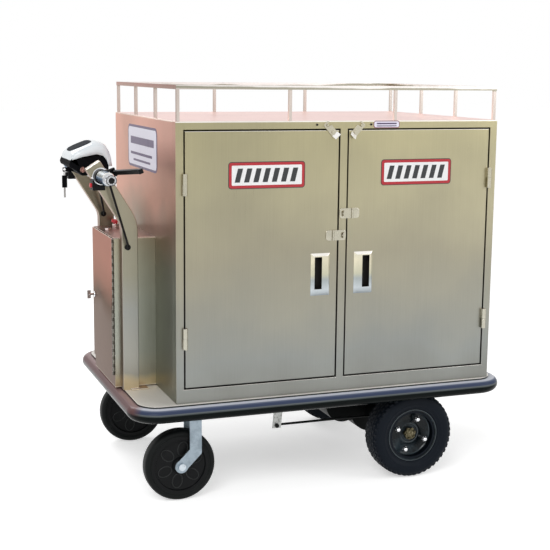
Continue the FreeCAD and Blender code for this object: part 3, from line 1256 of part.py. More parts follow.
# Drive wheels: dished rim with half shaft, dome nuts on studs, centre nut and tyre
for name, side in SIDES:
    hub_y = f"({side} * {WHEEL_Y})"
    half = "(rim_wide / 2)"
    inner_r = "(rim_r - rim_wall)"
    flange_r = "(rim_r + rim_flange)"
    disc_in = "(disc_out - disc_thick)"
    rim = [("shaft_d / 2", "-hub_in"), ("hub_r", "-hub_in"), ("hub_r", disc_in),
           (inner_r, disc_in), (inner_r, f"-{half}"), (flange_r, f"-{half}"),
           (flange_r, f"-{half} + rim_wall"),
           ("rim_r", f"-{half} + rim_wall"), ("rim_r", f"{half} - rim_wall"),
           (flange_r, f"{half} - rim_wall"),
           (flange_r, half), (inner_r, half), (inner_r, "disc_out"), ("shaft_d / 2", "disc_out")]
    shaft_y = sided(side, f"{WHEEL_Y} - shaft_in", f"{WHEEL_Y} + shaft_out")
    shaft = rod("y", AXLE_X, shaft_y, "tyre_r", "shaft_d", "shaft_in + shaft_out")
    node(f"drive_rim_{name}", put(spun(rim), AXLE_X, hub_y, "tyre_r", ACROSS[side]), shaft)

    bead = f"({half} - rim_wall)"
    wall = "(tyre_wide / 2)"
    half_tyre = [("rim_r", bead), (f"{flange_r} + clear_gap", bead),
                 ("rim_r + wall_low_up", f"{wall} - wall_low_in"),
                 ("rim_r + wall_mid_up", wall), ("tyre_r - wall_high_down", f"{wall} - wall_high_in"),
                 ("tyre_r - tread_edge_down", f"{wall} - tread_edge_in"), ("tyre_r", f"{wall} - tread_in")]
    tyre = half_tyre + [(radius, f"-({wide})") for radius, wide in reversed(half_tyre)]
    node(f"drive_tyre_{name}", put(spun(tyre), AXLE_X, hub_y, "tyre_r", ACROSS[side]))

    face_y = f"{hub_y} + {side} * disc_out"
    nuts = []
    for k in range(4):
        turn = SIZES["lug_turn"] + 90 * k
        lug_x = f"{AXLE_X} + lug_circle_r * cos({turn})"
        lug_z = f"tyre_r + lug_circle_r * sin({turn})"
        hexagon = doc.addObject("Part::Prism", "hexagon")
        hexagon.Polygon = 6
        bind(hexagon, {"Circumradius": "lug_r", "Height": "lug_long"})
        put(hexagon, lug_x, f"{face_y} + {side} * lug_stud", lug_z, ACROSS[side])
        dome = doc.addObject("Part::Sphere", "dome")
        bind(dome, {"Radius": "dome_r"})
        put(dome, lug_x, f"{face_y} + {side} * (lug_stud + lug_long)", lug_z)
        stud_y = sided(side, f"{WHEEL_Y} + disc_out", f"{WHEEL_Y} + disc_out + lug_stud")
        stud = rod("y", lug_x, stud_y, lug_z, "lug_stud_d", "lug_stud")
        nuts.append(fuse(stud, hexagon, dome))
    centre_nut = doc.addObject("Part::Prism", "centre_nut")
    centre_nut.Polygon = 6
    bind(centre_nut, {"Circumradius": "centre_nut_r", "Height": "centre_nut"})
    put(centre_nut, AXLE_X, face_y, "tyre_r", ACROSS[side])
    nut_bore = rod("y", AXLE_X, sided(side, f"{WHEEL_Y} + disc_out", f"{WHEEL_Y} + disc_out + centre_nut"),
                   "tyre_r", "shaft_d", "centre_nut")
    nuts.append(cut(centre_nut, nut_bore))
    node(f"drive_nuts_{name}", *nuts)

# Drive axle: tube, gear case and motor, held by the chassis hangers
MOTOR_X = f"({AXLE_X} - motor_back)"
MOTOR_Z = "(tyre_r + motor_up)"
axle = [rod("y", AXLE_X, f"-{AXLE_HALF}", "tyre_r", "axle_tube_d", f"2 * {AXLE_HALF}"),
        rod("y", AXLE_X, "-case_half", "tyre_r", "case_d", "2 * case_half"),
        rod("y", MOTOR_X, "-case_half", MOTOR_Z, "motor_d", "2 * case_half"),
        block(MOTOR_X, "-case_half", "tyre_r - motor_d / 4", "motor_back", "2 * case_half",
              "motor_d / 2 + motor_up")]
bores = []
for name, side in SIDES:
    bores.append(rod("y", AXLE_X, sided(side, f"{AXLE_HALF} - axle_bore", AXLE_HALF), "tyre_r",
                     "shaft_d + 2 * running_gap", "axle_bore"))
node("axle_housing", cut(fuse(*axle), *bores))
node("drive_motor", fuse(rod("y", MOTOR_X, "case_half", MOTOR_Z, "motor_d", "motor_long"),
                         rod("y", MOTOR_X, "case_half + motor_long", MOTOR_Z, "motor_cap_d", "motor_cap")))

# Torque stay: drilled strap under a cross member, and the rod from its eye to the axle hanger
ROD_Y = f"(-{HANGER_Y} - hanger_thick / 2)"
STRAP_Y = f"(-{HANGER_Y} - hanger_thick - stay_thick)"
strap_foot = "stay_z - stay_toe"
strap = put(plate("XZ_Plane", [("-stay_wide / 2", strap_foot), ("stay_wide / 2", strap_foot),
                               ("stay_lean + stay_wide / 2", RAIL_Z),
                               ("stay_lean - stay_wide / 2", RAIL_Z)], "stay_thick"), STAY_X,
            f"{STRAP_Y} + stay_thick", 0)
strap_hole = rod("y", f"{STAY_X} + stay_lean / 2", STRAP_Y, f"(stay_z + {RAIL_Z}) / 2", "stay_hole_d",
                 "stay_thick")
bolt_hole = rod("y", STAY_X, STRAP_Y, "stay_z", "stay_bolt_d", "stay_thick")
node("stay_strap", cut(strap, strap_hole, bolt_hole))
stay = [rod("y", STAY_X, f"-{HANGER_Y} - hanger_thick", "stay_z", "stay_eye_d", "hanger_thick"),
        rod("x", STAY_X, ROD_Y, "stay_z", "stay_rod_d", f"{AXLE_X} - hanger_x / 2 - {STAY_X}"),
        rod("y", STAY_X, f"{STRAP_Y} - stay_bolt_head", "stay_z", "stay_bolt_d",
            "stay_thick + stay_bolt_head + hanger_thick"),
        rod("y", STAY_X, f"{STRAP_Y} - stay_bolt_head", "stay_z", "2 * stay_bolt_d", "stay_bolt_head")]
node("stay_rod", fuse(*stay))

# Recompute, check every piece and write one file for each
doc.recompute()
for thing in doc.Objects:
    if "Invalid" in thing.State or "Error" in thing.State:
        raise ValueError(f"{thing.Name} ({thing.Label}) did not compute: {thing.State}")
os.makedirs("parts", exist_ok=True)
whole = FreeCAD.BoundBox()
for label, thing in NODES.items():
    shape = thing.Shape
    if shape.isNull() or not shape.isValid() or not shape.Solids:
        raise ValueError(f"{label} has no sound shape")
    whole.add(shape.BoundBox)
    shape.exportStep(f"parts/{label}.step")
print(len(NODES), "nodes", whole)
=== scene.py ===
# Motorised food delivery cart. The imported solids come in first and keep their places, in metres:
# the operator's handle is at -X, the cabinet doors face -Y and Z is up.
import json
import math
import bmesh
import bpy
from mathutils import Matrix, Vector

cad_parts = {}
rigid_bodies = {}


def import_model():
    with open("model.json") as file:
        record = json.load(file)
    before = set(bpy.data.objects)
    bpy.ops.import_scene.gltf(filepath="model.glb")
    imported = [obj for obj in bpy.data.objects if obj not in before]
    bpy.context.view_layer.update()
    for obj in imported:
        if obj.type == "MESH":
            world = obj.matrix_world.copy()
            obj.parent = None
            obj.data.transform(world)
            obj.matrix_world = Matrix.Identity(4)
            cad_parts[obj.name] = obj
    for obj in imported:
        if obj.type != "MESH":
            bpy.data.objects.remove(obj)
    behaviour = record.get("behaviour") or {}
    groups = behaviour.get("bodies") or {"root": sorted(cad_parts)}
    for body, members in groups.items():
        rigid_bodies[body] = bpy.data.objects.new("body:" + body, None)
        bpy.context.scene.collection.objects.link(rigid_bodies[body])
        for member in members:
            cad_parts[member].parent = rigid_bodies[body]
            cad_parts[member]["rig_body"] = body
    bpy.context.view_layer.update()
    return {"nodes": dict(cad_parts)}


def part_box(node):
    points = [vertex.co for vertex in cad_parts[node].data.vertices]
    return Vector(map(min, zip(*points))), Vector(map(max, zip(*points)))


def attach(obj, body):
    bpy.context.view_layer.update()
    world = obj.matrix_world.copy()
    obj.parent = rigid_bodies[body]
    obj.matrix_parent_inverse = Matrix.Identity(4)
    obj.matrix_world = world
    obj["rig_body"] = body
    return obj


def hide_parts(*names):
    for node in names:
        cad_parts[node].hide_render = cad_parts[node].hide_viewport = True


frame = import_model()
nodes = frame["nodes"]

# The deck is one folded sheet of brushed stainless steel, welded over a black painted frame
# of rectangular tube. The hairline polish of the sheet is shared by all the cart's sheet metal.
MM = 0.001


def effect(name, inputs, outputs):
    """An empty shader group with its two ends."""
    tree = bpy.data.node_groups.new(name, "ShaderNodeTree")
    for label, start in inputs.items():
        socket = tree.interface.new_socket(label, in_out="INPUT", socket_type="NodeSocketFloat")
        socket.default_value = start
    for label in outputs:
        tree.interface.new_socket(label, in_out="OUTPUT", socket_type="NodeSocketFloat")
    return tree, tree.nodes.new("NodeGroupInput").outputs, tree.nodes.new("NodeGroupOutput").inputs


def add(tree, kind, feeds=None, **settings):
    """One node with its settings, and what feeds its sockets."""
    item = tree.nodes.new(kind)
    for name, setting in settings.items():
        setattr(item, name, setting)
    for socket, feed in (feeds or {}).items():
        if isinstance(feed, bpy.types.NodeSocket):
            tree.links.new(feed, item.inputs[socket])
        else:
            item.inputs[socket].default_value = feed
    return item


def worked(tree, operation, *values):
    """The outcome of a sum with numbers or sockets."""
    return add(tree, "ShaderNodeMath", dict(enumerate(values)), operation=operation).outputs[0]


def ranged(tree, feed, low, high, start=0, stop=1):
    """A value's place between two others, as a share or between a start and a stop."""
    return add(tree, "ShaderNodeMapRange", {0: feed, 1: low, 2: high, 3: start, 4: stop}).outputs[0]


def ramp(tree, feed, stops):
    """A colour that changes along a value from 0 to 1; the stops are places and colours."""
    band = add(tree, "ShaderNodeValToRGB", {0: feed})
    elements = band.color_ramp.elements
    places, colours = zip(*stops)
    for place in places[1:-1]:
        elements.new(place)
    for element, colour in zip(elements, colours):
        element.color = (*colour, 1)
    return band.outputs[0]


MOSTLY = 0.7


def hairline_effect():
    """Polishing lines, up standing sheets and along lying ones, and broad uneven patches."""
    tree, inlet, outlet = effect("hairline", {"Across": 900, "Along": 9, "Patch": 4}, ("Line", "Patch"))
    place = add(tree, "ShaderNodeTexCoord").outputs
    upright = add(tree, "ShaderNodeCombineXYZ", {0: inlet["Across"], 1: inlet["Across"], 2: inlet["Along"]})
    lying = add(tree, "ShaderNodeCombineXYZ", {0: inlet["Along"], 1: inlet["Across"], 2: inlet["Across"]})
    facing = add(tree, "ShaderNodeSeparateXYZ", {0: place["Normal"]}).outputs
    is_lying = worked(tree, "GREATER_THAN", worked(tree, "ABSOLUTE", facing[2]), MOSTLY)
    pick = add(tree, "ShaderNodeMix", {0: is_lying, 4: upright.outputs[0], 5: lying.outputs[0]},
               data_type="VECTOR")
    spread = add(tree, "ShaderNodeVectorMath", {0: place["Object"], 1: pick.outputs[1]},
                 operation="MULTIPLY")
    lines = add(tree, "ShaderNodeTexNoise",
                {"Vector": spread.outputs[0], "Scale": 1, "Detail": 5, "Roughness": 0.7})
    patches = add(tree, "ShaderNodeTexNoise",
                  {"Vector": place["Object"], "Scale": inlet["Patch"], "Detail": 3})
    tree.links.new(lines.outputs[0], outlet["Line"])
    tree.links.new(patches.outputs[0], outlet["Patch"])
    return tree


LOOKS_UP = (0.1, 0.35)
LEANS_OVER = (0.998, 0.96)
LOOKS_TO_END = (-0.35, -0.75)
END_WALL = (-0.37, -0.38)
CABINET_DEEP = (-0.345, 0.345)
CABINET_LONG = (-0.385, 0.565)


def facing_effect():
    """Which way a surface looks: up, over a fold or to the operator's end.

    Rise, Back and Run give its place as shares of a height, a depth and a length."""
    outputs = ("Up", "Fold", "End", "Rise", "Back", "Run")
    tree, inlet, outlet = effect("facing", {"Low": 0.28, "High": 1.06}, outputs)
    place = add(tree, "ShaderNodeTexCoord").outputs
    facing = add(tree, "ShaderNodeSeparateXYZ", {0: place["Normal"]}).outputs
    spot = add(tree, "ShaderNodeSeparateXYZ", {0: place["Object"]}).outputs
    spans = {"Up": (facing[2], *LOOKS_UP), "Fold": (facing[2], *LEANS_OVER),
             "End": (facing[0], *LOOKS_TO_END), "Outer": (spot[0], *END_WALL),
             "Rise": (spot[2], inlet["Low"], inlet["High"]), "Back": (spot[1], *CABINET_DEEP),
             "Run": (spot[0], *CABINET_LONG)}
    shares = {}
    for label, (feed, low, high) in spans.items():
        shares[label] = ranged(tree, feed, low, high)
    shares["Fold"] = worked(tree, "MULTIPLY", shares["Up"], shares["Fold"])
    shares["End"] = worked(tree, "MULTIPLY", shares["End"], shares.pop("Outer"))
    for label, share in shares.items():
        tree.links.new(share, outlet[label])
    return tree


HAIRLINE = hairline_effect()
FACING = facing_effect()
GRAZING = (0.6, 0.5, 0.46)
# painted light on all sheet steel: a near white painted highlight on folds, and a painted sheen on the far
# top and the far part of the operator's end
FOLD_HIGHLIGHT = (0.93, 0.9, 0.84)
HEIGHT_DRIFT = 0.24
FAR_TOP_SHEEN = (1, 1.25)
FAR_END_SHEEN = (0.72, 1.1)
PATCH_LIGHT = (0.86, 1.14)
LINE_SPREAD = (0.3, 0.7)
LINE_LIGHT = (0.95, 1.04)
POLISH_GLOSS = 0.14
RIDGE_STRENGTH = 0.12
RIDGE_DEEP = 0.0004


def bare_material(name):
    """A new material, its nodes and its shader."""
    material = bpy.data.materials.new(name)
    material.use_nodes = True
    return material, material.node_tree, material.node_tree.nodes["Principled BSDF"]


def scaled(tree, colour, feed, light, spread=(0, 1)):
    """A colour made darker or lighter along a share."""
    factor = ranged(tree, feed, *spread, *light)
    return add(tree, "ShaderNodeVectorMath", {0: colour, 3: factor}, operation="SCALE").outputs[0]


def mixed(tree, share, one, two):
    """A colour between two others."""
    return add(tree, "ShaderNodeMix", {0: share, 6: one, 7: two}, data_type="RGBA").outputs[2]


def sheet_steel(name, span, standing, end, lying, rough, metal=1, glance=GRAZING):
    """Hairline stainless steel, whose tone follows the height as a painted reflection.

    It has painted reflection tones of its own on the operator's end and on what lies flat,
    with a painted sheen on the far top and a painted highlight on folds."""
    material, tree, steel = bare_material(name)
    steel.inputs["Metallic"].default_value = metal
    steel.inputs["Specular Tint"].default_value = (*glance, 1)
    polish = add(tree, "ShaderNodeGroup", node_tree=HAIRLINE).outputs
    facing = add(tree, "ShaderNodeGroup", {"Low": span[0], "High": span[1]}, node_tree=FACING).outputs
    drift = worked(tree, "MULTIPLY_ADD", polish["Patch"], HEIGHT_DRIFT, -HEIGHT_DRIFT / 2)
    height = worked(tree, "ADD", facing["Rise"], drift)
    far_top = worked(tree, "MULTIPLY", facing["Run"], facing["Rise"])
    side_reflection_tone = scaled(tree, ramp(tree, height, standing), far_top, FAR_TOP_SHEEN)
    end_reflection_tone = scaled(tree, ramp(tree, height, end), facing["Back"], FAR_END_SHEEN)
    upright = mixed(tree, facing["End"], side_reflection_tone, end_reflection_tone)
    flat = mixed(tree, facing["Up"], upright, (*lying, 1))
    tone = mixed(tree, facing["Fold"], flat, (*FOLD_HIGHLIGHT, 1))
    cloud = scaled(tree, tone, polish["Patch"], PATCH_LIGHT)
    colour = scaled(tree, cloud, polish["Line"], LINE_LIGHT, LINE_SPREAD)
    tree.links.new(colour, steel.inputs["Base Color"])
    fine = worked(tree, "MULTIPLY_ADD", polish["Line"], POLISH_GLOSS, rough - POLISH_GLOSS)
    gloss = worked(tree, "MULTIPLY_ADD", polish["Patch"], POLISH_GLOSS, fine)
    tree.links.new(gloss, steel.inputs["Roughness"])
    ridges = add(tree, "ShaderNodeBump",
                 {"Height": polish["Line"], "Strength": RIDGE_STRENGTH, "Distance": RIDGE_DEEP})
    tree.links.new(ridges.outputs[0], steel.inputs["Normal"])
    return material


RUB_EDGE = 0.14


def grain_effect():
    """Fine moulded or sprayed grain, and rubbed patches with soft edges."""
    tree, inlet, outlet = effect("grain", {"Fine": 900, "Broad": 9, "Reach": 0.62}, ("Grain", "Rub"))
    place = add(tree, "ShaderNodeTexCoord").outputs
    fine = add(tree, "ShaderNodeTexNoise", {"Vector": place["Object"], "Scale": inlet["Fine"], "Detail": 2})
    broad = add(tree, "ShaderNodeTexNoise",
                {"Vector": place["Object"], "Scale": inlet["Broad"], "Detail": 6, "Roughness": 0.65})
    full = worked(tree, "ADD", inlet["Reach"], RUB_EDGE)
    rub = ranged(tree, broad.outputs[0], inlet["Reach"], full)
    tree.links.new(fine.outputs[0], outlet["Grain"])
    tree.links.new(rub, outlet["Rub"])
    return tree


GRAIN = grain_effect()
SPECK_GLOSS = 0.1
RUB_GLOSS = 0.12
GRAIN_STRENGTH = 0.5


def coated(name, colour, rubbed, rough, fine, depth, metal=0, shine=0.5, coat=0, reach=0.55, broad=9):
    """Paint, plastic, rubber or plating: a fine grain, and patches that handling or dust has changed."""
    material, tree, skin = bare_material(name)
    skin.inputs["Metallic"].default_value = metal
    skin.inputs["Specular IOR Level"].default_value = shine
    skin.inputs["Coat Weight"].default_value = coat
    marks = {"Fine": fine, "Broad": broad, "Reach": reach}
    grain = add(tree, "ShaderNodeGroup", marks, node_tree=GRAIN).outputs
    tint = mixed(tree, grain["Rub"], (*colour, 1), (*rubbed, 1))
    tree.links.new(tint, skin.inputs["Base Color"])
    speck = worked(tree, "MULTIPLY_ADD", grain["Grain"], SPECK_GLOSS, rough - SPECK_GLOSS / 2)
    gloss = worked(tree, "MULTIPLY_ADD", grain["Rub"], RUB_GLOSS, speck)
    tree.links.new(gloss, skin.inputs["Roughness"])
    relief = add(tree, "ShaderNodeBump",
                 {"Height": grain["Grain"], "Strength": GRAIN_STRENGTH, "Distance": depth})
    tree.links.new(relief.outputs[0], skin.inputs["Normal"])
    return material


def dress(material, *names):
    """Give solids that keep their shape their finish."""
    for name in names:
        for slot in nodes[name].material_slots:
            slot.material = material


def add_piece(name, mesh, body, slot, *replaced):
    """A finished mesh as a piece that rides on its body, in place of solids where these are named."""
    piece = bpy.data.objects.new(name, mesh)
    bpy.context.scene.collection.objects.link(piece)
    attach(piece, body)
    if replaced:
        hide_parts(*replaced)
    return piece


WELD = 0.01 * MM
SHARP = math.radians(35)
SHORT = 3
JUST_BROKEN = 0.2
BESIDE = 0.7
ROOM = 0.45
WIDE = 1


def shell_by_shell(mesh):
    """The faces of a solid joined to closed shells, so that sheets which only touch stay apart."""
    joined = bmesh.new()
    joined.from_mesh(mesh)
    bmesh.ops.remove_doubles(joined, verts=joined.verts, dist=WELD)
    shape = bmesh.new()
    spots = {}
    ragged = set()
    for face in joined.faces:
        for vert in face.verts:
            if vert not in spots:
                spots[vert] = shape.verts.new(vert.co)
        shape.faces.new([spots[vert] for vert in face.verts])
        ragged ^= set(face.edges)
        if not ragged:
            spots = {}
    joined.free()
    shape.normal_update()
    return shape


def room_beside(edge):
    """The shortest edge that meets this one at a broad angle, such as a sheet's thickness."""
    along = (edge.verts[1].co - edge.verts[0].co).normalized()
    room = WIDE
    for vert in edge.verts:
        for other in vert.link_edges:
            way = other.verts[1].co - other.verts[0].co
            if abs(way.normalized().dot(along)) < BESIDE:
                room = min(room, way.length)
    return room


def as_mesh(name, shape, materials):
    """The mesh of a drawn shape, with its materials."""
    mesh = bpy.data.meshes.new(name)
    shape.to_mesh(mesh)
    shape.free()
    for material in materials:
        mesh.materials.append(material)
    return mesh


def eased(source, width, slot, *materials, inner=None, steps=2, shaped=None, broad=None):
    """A copy of a solid with its sharp edges broken, less so where they are short or on thin sheet.

    Inner tells which material a face takes: 0 for the first, 1 for the second, 2 for the third. Where
    shaped is given, it works on the copy first. Broad tells which edges take the full width, where the
    others are only just broken."""
    solid = nodes[source]
    shape = shell_by_shell(solid.data)
    if shaped is not None:
        shaped(shape)
    for face in shape.faces:
        face.smooth = True
        face.material_index = int(inner is not None and inner(face.calc_center_median(), face.normal))
    share = shape.edges.layers.float.new("bevel_weight_edge")
    for edge in shape.edges:
        if edge.calc_face_angle(0) > SHARP:
            by_length = edge.calc_length() / (SHORT * width * MM)
            by_room = ROOM * room_beside(edge) / (width * MM)
            edge[share] = min(1, by_length, by_room)
            if broad is not None and not broad(edge):
                edge[share] = min(edge[share], JUST_BROKEN)
    mesh = as_mesh(source + "_eased", shape, materials)
    mesh.set_sharp_from_angle(angle=SHARP)
    piece = add_piece(source + "_eased", mesh, solid["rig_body"], slot, source)
    edge = piece.modifiers.new("edge", "BEVEL")
    edge.width = width * MM
    edge.segments = steps
    edge.limit_method = "WEIGHT"
    edge.use_clamp_overlap = False
    edge.harden_normals = True
    return piece


# the deck's flat top is painted light as a painted sky reflection, and its edges dark as painted shade
DECK_SPAN = (0.2, 0.3)
DECK_TONES = ((0, (0.19, 0.19, 0.175)), (1, (0.2, 0.2, 0.185)))
deck_steel = sheet_steel("deck_steel", DECK_SPAN, DECK_TONES, DECK_TONES, (0.76, 0.73, 0.69), 0.36,
                         metal=0.35, glance=(0.8, 0.77, 0.74))
black_paint = coated("black_paint", (0.004, 0.005, 0.005), (0.014, 0.014, 0.013), 0.4, 700, 0.0002,
                     shine=0.12)
eased("deck_plate", 0.8, "stainless", deck_steel)
dress(black_paint, "chassis_frame")

# The bumper is a tube bent to a loop round the deck and sleeved in glossy black vinyl,
# bolted to the edge of the frame. Its upper side is painted with a blue grey sky reflection, a pale painted
# highlight on the crown and a pale line of painted reflection below.
VINYL_REFLECTION_TONES = ((0, (0.002, 0.004, 0.004)), (0.53, (0.003, 0.005, 0.005)), (0.58, (0.05, 0.06, 0.06)),
               (0.65, (0.12, 0.135, 0.14)), (0.71, (0.04, 0.052, 0.095)), (0.84, (0.045, 0.06, 0.11)),
               (0.91, (0.12, 0.14, 0.2)), (0.96, (0.5, 0.52, 0.58)), (1, (0.5, 0.52, 0.58)))
VINYL_END_REFLECTION_TONES = ((0, (0.003, 0.004, 0.004)), (0.5, (0.008, 0.006, 0.006)), (0.6, (0.09, 0.045, 0.045)),
                   (0.9, (0.15, 0.08, 0.08)), (1, (0.3, 0.2, 0.2)))
# where the painted reddish reflection runs, along the operator's end
VINYL_END = (-0.445, -0.468)
VINYL_TURN = (-0.13, -0.17)


def vinyl_with_reflections():
    """Black below, with a painted pale line of reflection and a painted blue sky reflection above, a
    painted highlight on the crown, and a painted reddish reflection along the operator's end.
    """
    material = coated("bumper_vinyl", (0, 0, 0), (0, 0, 0), 0.16, 500, 0.0001, shine=0.06, broad=14)
    tree = material.node_tree
    vinyl = tree.nodes["Principled BSDF"]
    place = add(tree, "ShaderNodeTexCoord").outputs
    facing = add(tree, "ShaderNodeSeparateXYZ", {0: place["Normal"]}).outputs
    spot = add(tree, "ShaderNodeSeparateXYZ", {0: place["Object"]}).outputs
    level = ranged(tree, facing[2], -1, 1)
    end = ranged(tree, spot[0], *VINYL_END)
    past = ranged(tree, worked(tree, "SUBTRACT", spot[0], spot[1]), *VINYL_TURN)
    along_end = worked(tree, "MULTIPLY", end, past)
    tint = mixed(tree, along_end, ramp(tree, level, VINYL_REFLECTION_TONES), ramp(tree, level, VINYL_END_REFLECTION_TONES))
    tree.links.new(tint, vinyl.inputs["Base Color"])
    return material


dress(vinyl_with_reflections(), "bumper_tube")

# The cabinet is a box of thin stainless sheet behind a welded front frame, with a divider and lipped
# shelves. A gallery of bright bar stands on its top so that trays cannot slide off.
CABINET_SPAN = (0.28, 1.06)
# painted reflections: the door tones darken towards the foot and warm to champagne at the top, the end
# tones put a salmon painted reflection above grey, and shelves and tops take lighter painted sky
# reflections
DOOR_TONES = ((0, (0.205, 0.207, 0.19)), (0.15, (0.24, 0.25, 0.236)), (0.5, (0.305, 0.284, 0.212)),
              (0.75, (0.362, 0.333, 0.222)), (1, (0.38, 0.345, 0.207)))
END_TONES = ((0, (0.36, 0.37, 0.33)), (0.42, (0.38, 0.385, 0.345)), (0.5, (0.38, 0.37, 0.33)),
             (0.6, (0.5, 0.36, 0.3)), (0.72, (0.78, 0.45, 0.37)), (1, (0.93, 0.54, 0.46)))
SKY_REFLECTION = (0.86, 0.68, 0.65)
SHELF_TONE = (0.6, 0.58, 0.54)
NEUTRAL = (0.6, 0.6, 0.56)
cabinet_steel = sheet_steel("cabinet_steel", CABINET_SPAN, DOOR_TONES, DOOR_TONES, SHELF_TONE, 0.32,
                            glance=NEUTRAL)
end_reflection_steel = sheet_steel("end_reflection_steel", CABINET_SPAN, DOOR_TONES, END_TONES, SKY_REFLECTION, 0.32, glance=NEUTRAL)
top_reflection_steel = sheet_steel("top_reflection_steel", CABINET_SPAN, DOOR_TONES, END_TONES, SKY_REFLECTION, 0.32,
                        glance=(0.95, 0.84, 0.82))
# the gallery bars are painted dark underneath and near white on top, painted shade and painted highlight,
# and pinker on the operator's end, a painted reflection
GALLERY_SPAN = (1.04, 1.135)
POST_TONE = (0.62, 0.55, 0.5)
BAR_UNDER_SHADE = (0.36, 0.34, 0.27)
BAR_HIGHLIGHT = (0.82, 0.78, 0.75)
BAR_TONES = ((0, POST_TONE), (0.86, POST_TONE), (0.89, BAR_UNDER_SHADE), (0.93, BAR_UNDER_SHADE), (0.955, BAR_HIGHLIGHT),
             (1, BAR_HIGHLIGHT))
BAR_END_TONES = ((0, (0.66, 0.56, 0.52)), (0.86, (0.66, 0.54, 0.5)), (1, (0.62, 0.42, 0.4)))
gallery_steel = sheet_steel("gallery_steel", GALLERY_SPAN, BAR_TONES, BAR_END_TONES, (0.86, 0.8, 0.78),
                            0.28)
dress(cabinet_steel, "cabinet_interior")
dress(gallery_steel, "gallery_rail")
ROOF_LOW = 1.02
END_INNER = -0.38


def cabinet_side(centre, normal):
    """The top takes the second finish, with its painted sky reflection, and the operator's end the third,
    with its painted salmon reflection.
    """
    if normal.x < -MOSTLY and centre.x < END_INNER:
        return 2
    return normal.z > MOSTLY and centre.z > ROOF_LOW


eased("cabinet_shell", 0.8, "stainless", cabinet_steel, top_reflection_steel, end_reflection_steel, inner=cabinet_side)
CAB_MID = 0.09027
FRAME_FACE = 21.5 * MM
FRAME_FOOT = 38.5 * MM
frame_low, frame_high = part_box("front_frame")


def welded_frame(shape):
    """Draw the frame as one piece, as its welds are ground flush."""
    shape.clear()
    across = (frame_low.x, frame_low.x + FRAME_FACE, CAB_MID - FRAME_FACE / 2, CAB_MID + FRAME_FACE / 2,
              frame_high.x - FRAME_FACE, frame_high.x)
    up = (frame_low.z, frame_low.z + FRAME_FOOT, frame_high.z - FRAME_FACE, frame_high.z)
    spots = [[shape.verts.new((x, frame_low.y, z)) for x in across] for z in up]
    for row in range(len(up) - 1):
        for column in range(len(across) - 1):
            doorway = row == 1 and column % 2 == 1
            if not doorway:
                shape.faces.new((spots[row][column], spots[row][column + 1], spots[row + 1][column + 1],
                                 spots[row + 1][column]))
    grown = bmesh.ops.extrude_face_region(shape, geom=shape.faces[:])
    moved = [item for item in grown["geom"] if isinstance(item, bmesh.types.BMVert)]
    bmesh.ops.translate(shape, verts=moved, vec=(0, frame_high.y - frame_low.y, 0))
    bmesh.ops.recalc_face_normals(shape, faces=shape.faces)


def over_the_doors(edge):
    """The rolled front edge along the top of the frame."""
    return all(vert.co.z > frame_high.z - MM and vert.co.y < frame_low.y + MM for vert in edge.verts)


eased("front_frame", 4, "stainless", cabinet_steel, top_reflection_steel, end_reflection_steel, inner=cabinet_side, steps=4,
      shaped=welded_frame, broad=over_the_doors)

# Doors are pressed pans closed by a liner sheet, on weld-on barrel hinges.
# Flush chrome pulls, swing latches and padlock hasps are riveted to them.
pull_low, pull_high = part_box("pull_left")
PULL_SPAN = (pull_low.z, pull_high.z)
# painted reflections on the pulls: grey streaks below and the doors' khaki above, and a near white painted
# highlight on what lies flat
PULL_TONES = ((0, (0.28, 0.31, 0.33)), (0.14, (0.44, 0.48, 0.5)), (0.36, (0.32, 0.35, 0.35)),
              (0.48, (0.46, 0.45, 0.34)), (0.8, (0.6, 0.56, 0.42)), (1, (0.56, 0.53, 0.42)))
PULL_END_TONES = ((0, (0.24, 0.26, 0.22)), (1, (0.3, 0.3, 0.2)))
pull_chrome = sheet_steel("pull_chrome", PULL_SPAN, PULL_TONES, PULL_END_TONES, (0.95, 0.89, 0.78), 0.2)
# hasp tones warm a little towards the top and darken on the operator's end, painted reflections, and what
# lies flat is near white, a painted highlight
HASP_TONES = ((0, (0.42, 0.41, 0.35)), (0.6, (0.43, 0.41, 0.33)), (1, (0.47, 0.44, 0.34)))
HASP_END_TONES = ((0, (0.3, 0.26, 0.22)), (1, (0.34, 0.3, 0.24)))
hasp_steel = sheet_steel("hasp_steel", CABINET_SPAN, HASP_TONES, HASP_END_TONES, (0.85, 0.8, 0.72), 0.26)
chrome = coated("polished_chrome", (0.72, 0.73, 0.75), (0.6, 0.61, 0.63), 0.1, 300, 0.00005, metal=1)
cup_shade = coated("cup_shade", (0.012, 0.011, 0.009), (0.02, 0.019, 0.016), 0.5, 700, 0.0002, shine=0.2)
DOOR_FRONT = -0.345
PULL_FACE = DOOR_FRONT - 4.9 * MM
CUP_MOUTH = DOOR_FRONT + 0.5 * MM
WALL_TILT = 0.3


def in_the_cup(centre, normal):
    """The cup behind the finger slot, and the slot's own walls."""
    return centre.y > CUP_MOUTH or (centre.y > PULL_FACE and abs(normal.y) < WALL_TILT)


# padlock hasps have round outer corners, on the leaf and on the base
HASP_ENDS = (-10 * MM, 49.3 * MM)
HASP_ROUND = 8 * MM
HASP_NEAR = 0.05 * MM


def hasp_rounding(side):
    """Rounds the corners of plates that end where a hasp ends."""
    places = [CAB_MID + side * end for end in HASP_ENDS]

    def rounded(shape):
        corners = []
        for edge in shape.edges:
            one, two = (vert.co for vert in edge.verts)
            outward = abs(one.y - two.y) > MM and (one - two).xz.length < WELD
            if outward and min(abs(one.x - place) for place in places) < HASP_NEAR:
                corners.append(edge)
        bmesh.ops.bevel(shape, geom=corners, offset=HASP_ROUND, offset_type="OFFSET", segments=6,
                        profile=0.5, affect="EDGES")
    return rounded


